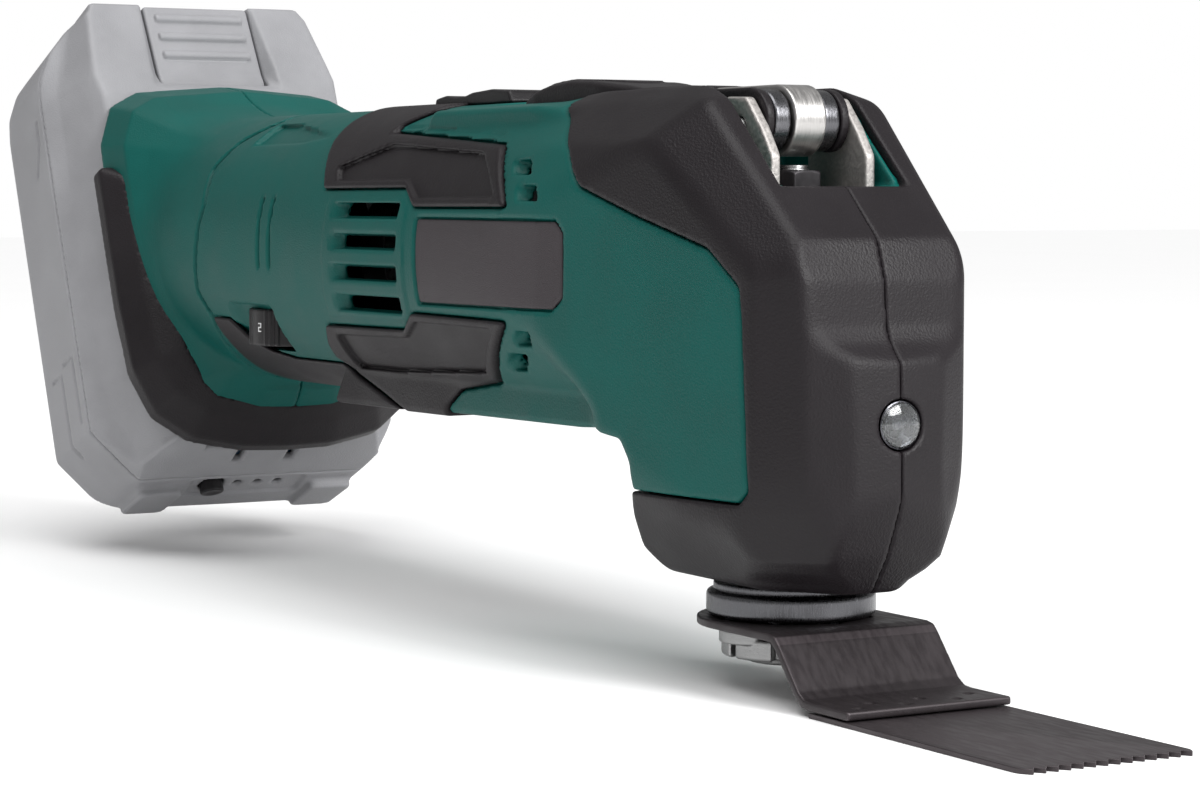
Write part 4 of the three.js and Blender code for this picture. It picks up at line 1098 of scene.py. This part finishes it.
def charge_key(x, y, z):
    depth, along = pack_frame(x, z)
    reach = disc(y - CHARGE["y"], depth - CHARGE["depth"], CHARGE["radius"])
    dish = np.sqrt((y - CHARGE["y"]) ** 2 + (depth - CHARGE["depth"]) ** 2 + (along - 98.6) ** 2)
    return smax(smax(reach, box_field(along, 105.1, 108.3), 0.5), 6.8 - dish, 0.2)


def pack_corners(depths, alongs):
    """The low and high corners of the box round a stretch of the pack."""
    spots = [pack_point(depth, 0, along) for depth in depths for along in alongs]
    return np.min(spots, 0), np.max(spots, 0)


def make_pack():
    low, high = pack_corners((-0.5, 20.5), (105, 233))
    moulded("pack_front", front_shell, (low[0], -42, low[2]), (high[0], 42, high[2]), 0.7, PACK_GREY,
        "battery",
            ["pack_front_shell"])
    moulded("pack_rear", rear_shell, (-322, -42.5, 0), (-240, 42.5, 136.5), 0.78, PACK_GREY, "battery",
            ["pack_rear_shell"])
    low, high = pack_corners((-0.5, 15.5), (191, 233))
    moulded("latch", latch, (low[0], -15, low[2]), (high[0], 15, high[2]), 0.45, PACK_GREY, "latch",
            ["latch_button"])
    spot = np.array(pack_point(CHARGE["depth"], CHARGE["y"], 106.6))
    moulded("charge_key_cap", charge_key, spot - 4.5, spot + 4.5, 0.25, HARD, "charge_key",
        ["charge_button"])


make_pack()


# ---- controls, light and screws
KNOB_SIDE = Outline([
    (-130, 105.0), (-129.6, 107.7), (-125, 108.3), (-121, 107.9), (-116, 108.0), (-113, 108.6),
    (-104, 109.1),
    (-96, 108.6), (-94, 105.0),
], soft=0.3, step=0.2)


def slide_knob(x, y, z):
    cap = smax(KNOB_SIDE(x, z), np.abs(y) - 7, 0.8)
    cap = smax(cap, 0.2 - skin(x, y, z), 0.2)
    grooves = np.abs((x + 97) % 2.2 - 1.1) - 0.45
    zone = np.maximum(box_field(x, -112, -97), np.abs(y) - 5.6)
    cap = engrave(cap, np.maximum(zone, grooves), 0.35, 0.25)
    stem = meet(box_field(x, -119, -103), np.abs(y) - 3, box_field(z, 100.6, 107.6))
    return np.minimum(cap, stem)


def dial_wheel(x, y, z):
    u, v = x - DIAL["x"], y - DIAL["y"]
    reach, angle = np.hypot(u, v), np.arctan2(v, u)
    sixth = math.pi / 3
    place = (angle + math.radians(DIAL["first"]) + sixth / 2) % sixth - sixth / 2
    ridges = 0.5 * (0.5 + 0.5 * np.cos(place * 40)) * smoothstep(place, 0.13, 0.2)
    out = smax(reach - DIAL["radius"] + 0.5 - ridges, np.abs(z - DIAL["z"]) - 4.2, 0.5)
    return smax(out, 2.1 - reach, 0.3)


DIGITS = {"1": "bc", "2": "abged", "3": "abgcd", "4": "fgbc", "5": "afgcd", "6": "afgedc"}
STROKES = {
    "a": (-1, 2, 1, 2), "b": (1, 0, 1, 2), "c": (1, -2, 1, 0), "d": (-1, -2, 1, -2),
    "e": (-1, -2, -1, 0), "f": (-1, 0, -1, 2), "g": (-1, 0, 1, 0),
}


def make_dial_numbers():
    """Plain numbers 1 to 6 round the wheel, as thin raised strokes."""
    points, faces = [], []
    radius, half, lift = DIAL["radius"] - 0.5, 0.13, 0.1
    for k, bars in enumerate(DIGITS.values()):
        middle_angle = math.radians(-DIAL["first"]) + k * math.pi / 3
        for bar in bars:
            u0, v0, u1, v1 = (0.44 * c for c in STROKES[bar])
            corners = [(min(u0, u1) - half, min(v0, v1) - half), (max(u0, u1) + half, min(v0, v1) - half),
                       (max(u0, u1) + half, max(v0, v1) + half), (min(u0, u1) - half, max(v0, v1) + half)]
            start = len(points)
            for reach in (radius - 0.2, radius + lift):
                for u, v in corners:
                    angle = middle_angle + u / radius
                    points.append((DIAL["x"] + reach * math.cos(angle),
                        DIAL["y"] + reach * math.sin(angle),
                                   DIAL["z"] + v))
            faces += [tuple(start + c for c in side) for side in (
                (4, 5, 6, 7), (3, 2, 1, 0), (0, 1, 5, 4), (1, 2, 6, 5), (2, 3, 7, 6), (3, 0, 4, 7))]
    crisp(make_piece("dial_numbers", points, faces, PAINT, "dial"))


def screw(place_x, place_z):
    def field(x, y, z):
        u, v = x - place_x, z - place_z
        reach = np.hypot(u, v)
        head = smax(reach - 3, box_field(y, 19.4, 21.8), 0.5)
        head = smax(head, np.sqrt(reach ** 2 + (y - 15.4) ** 2) - 6.4, 0.2)
        star = reach - 1.35 - 0.3 * np.cos(6 * np.arctan2(v, u))
        head = smax(head, -np.maximum(star, 20.3 - y), 0.15)
        shank = smax(reach - 1.5 - 0.12 * np.sin(2 * math.pi * y / 1.1), box_field(y, -11, 20), 0.4)
        return np.minimum(head, shank)
    return field


def make_controls():
    moulded("slide_knob", slide_knob, (-131, -7.5, 100), (-93, 7.5, 111), 0.35, HARD, "switch_knob",
            ["slide_switch"])
    reach = DIAL["radius"] + 0.5
    moulded("dial_wheel", dial_wheel, (DIAL["x"] - reach, DIAL["y"] - reach, DIAL["z"] - 5),
            (DIAL["x"] + reach, DIAL["y"] + reach, DIAL["z"] + 5), 0.3, HARD, "dial", ["speed_dial"])
    make_dial_numbers()
    lathe("lens", [(0, 34.35), (1.5, 34.3), (2.6, 34.1), (3.6, 33.7), (3.95, 33.3), (3.95, 34.0),
        (3.7, 34.4),
                   (2.7, 34.8), (1.5, 35.05), (0, 35.15)], (0, 0, LED["z"]), (1, 0, 0),
          LENS, "housing", ["led_lens"], 64)
    lathe("led_cup", [(0, 31.4), (4.2, 31.4), (4.2, 33.9), (4.0, 34.0), (4.0, 33.2), (3.5, 32.9),
        (3.3, 33.1),
                      (2.7, 32.5), (2.5, 32.7), (1.9, 32.1), (1.0, 32.0), (0.9, 32.6), (0, 32.7)],
          (0, 0, LED["z"]), (1, 0, 0), CUP, "housing", sides=64)
    for k, (sx, sz) in enumerate(SCREWS, 1):
        moulded(f"screw_{k}", screw(sx, sz), (sx - 3.2, -11.5, sz - 3.2), (sx + 3.2, 22.2, sz + 3.2),
            0.28,
                BLACKED, "housing", [f"housing_screw_{k}"])


make_controls()

# ---- springs
def spring(name, fixed, free, radius, wire, turns, body):
    """A coil from its fixed end to its free end."""
    fixed, free = np.array(fixed, float), np.array(free, float)
    along = (free - fixed) / np.linalg.norm(free - fixed)
    u = np.cross(along, (0, 1, 0))
    v = np.cross(along, u)
    steps, sides = turns * 32, 12
    phase = 2 * math.pi * turns * np.arange(steps + 1) / steps
    outward = np.cos(phase)[:, None] * u + np.sin(phase)[:, None] * v
    line = fixed + np.linspace(0, 1, steps + 1)[:, None] * (free - fixed) + radius * outward
    turn = 2 * math.pi * np.arange(sides) / sides
    ring = np.cos(turn)[None, :, None] * outward[:, None] + np.sin(turn)[None, :, None] * along
    points = (line[:, None] + wire * ring).reshape(-1, 3)
    faces = [tuple(range(sides)), tuple(reversed(range(steps * sides, (steps + 1) * sides)))]
    for k in range(steps):
        for side in range(sides):
            a, b = k * sides + side, k * sides + (side + 1) % sides
            faces.append((a, a + sides, b + sides, b))
    item = make_piece(f"{name}_coil", points, faces, STEEL, body, [name])
    anchor = placed(fixed - along * wire)
    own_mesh(item)


def make_springs():
    spring("clamp_spring", (0, 0, 81.2), (0, 0, 85.2), 5.6, 0.7, 2, "output")
    spring("latch_spring", pack_point(18.9, 0, 212), pack_point(15.9, 0, 212), 3.2, 0.5, 3,
           "battery")


make_springs()

# ---- pieces kept from the frame
KEPT = {
    STEEL: ["motor_can", "motor_shaft", "motor_bearing", "lower_bearing", "upper_bearing", "eccentric",
            "eccentric_bearing", "spindle", "lever_pin"],
    CAST: ["gear_housing"],
    BRASS: ["tool_contacts", "pack_contacts", "commutator"],
    COPPER: ["armature_core"],
    BOARD: ["pack_board", "control_board"],
    CELL: [f"cell_{k}" for k in range(1, 6)],
    HARD: ["rail_plate", "motor_end_cap", "cooling_fan", "switch_body"],
    BLACKED: ["swing_fork"],
}


def finish_kept():
    for material, names in KEPT.items():
        for name in names:
            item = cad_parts[name]
            item.data.materials.clear()
            item.data.materials.append(material)
            item.data.polygons.foreach_set("use_smooth", np.ones(len(item.data.polygons), bool))
            weld = item.modifiers.new("weld", "WELD")
            weld.merge_threshold = 0.00001
            soften(item, 0.25)


finish_kept()

CAMERA = {"x": 461.4, "y": -305.6, "z": 86.4, "pitch": 3.78, "turn": 60.1, "lens": 91.2}


def make_camera():
    data = bpy.data.cameras.new("camera")
    data.lens = CAMERA["lens"]
    data.clip_end = 20
    camera = bpy.data.objects.new("camera", data)
    camera.location = ORIGIN + Vector((CAMERA["x"], CAMERA["y"], CAMERA["z"])) * MM
    camera.rotation_euler = Euler((math.radians(90 - CAMERA["pitch"]), 0, math.radians(CAMERA["turn"])))
    bpy.context.scene.collection.objects.link(camera)
    bpy.context.scene.camera = camera


def make_light(name, place, aim, size, power, tint=(1, 1, 1)):
    data = bpy.data.lights.new(name, "AREA")
    data.shape = "RECTANGLE"
    data.size, data.size_y = size
    data.energy = power
    data.color = tint
    lamp = bpy.data.objects.new(name, data)
    lamp.location = place
    lamp.rotation_euler = (Vector(aim) - Vector(place)).to_track_quat("-Z", "Y").to_euler()
    bpy.context.scene.collection.objects.link(lamp)


def make_sun(turn, lift, spread, strength):
    data = bpy.data.lights.new("sun", "SUN")
    data.energy = strength
    data.angle = math.radians(spread)
    lamp = bpy.data.objects.new("sun", data)
    lamp.rotation_euler = Euler((0, math.radians(90 - lift), math.radians(turn)))
    bpy.context.scene.collection.objects.link(lamp)


def make_world():
    """An even grey dome for light, seen as white behind the object."""
    world = bpy.data.worlds.new("studio")
    world.use_nodes = True
    nodes, links = world.node_tree.nodes, world.node_tree.links
    dome = nodes["Background"]
    dome.inputs["Color"].default_value = (1, 1, 1, 1)
    dome.inputs["Strength"].default_value = LIGHT["dome"]
    backdrop = nodes.new("ShaderNodeBackground")
    backdrop.inputs["Color"].default_value = (1, 1, 1, 1)
    backdrop.inputs["Strength"].default_value = LIGHT["backdrop"]
    path = nodes.new("ShaderNodeLightPath")
    blend = nodes.new("ShaderNodeMixShader")
    links.new(path.outputs["Is Camera Ray"], blend.inputs[0])
    links.new(dome.outputs[0], blend.inputs[1])
    links.new(backdrop.outputs[0], blend.inputs[2])
    links.new(blend.outputs[0], nodes["World Output"].inputs["Surface"])
    bpy.context.scene.world = world


def make_studio():
    make_world()
    bpy.context.scene.view_settings.view_transform = "Standard"
    make_sun(-50, 72, 50, LIGHT["sun"])
    make_light("front_box", (1.2, 0.35, 0.7), (0.05, 0, 0.06), (0.6, 0.6), LIGHT["front"])
    floor = bpy.data.meshes.new("floor")
    far = 6.0
    floor.from_pydata([(-far, -far, 0), (far, -far, 0), (far, far, 0), (-far, far, 0)], [],
        [(0, 1, 2, 3)])
    made = Shader("floor")
    made.colour(made.mix(made.noise(6), (0.96, 0.96, 0.96, 1), (0.98, 0.98, 0.98, 1)))
    made.shader.inputs["Roughness"].default_value = 0.85
    floor.materials.append(made.material)
    item = bpy.data.objects.new("floor", floor)
    bpy.context.scene.collection.objects.link(item)


make_camera()
make_studio()
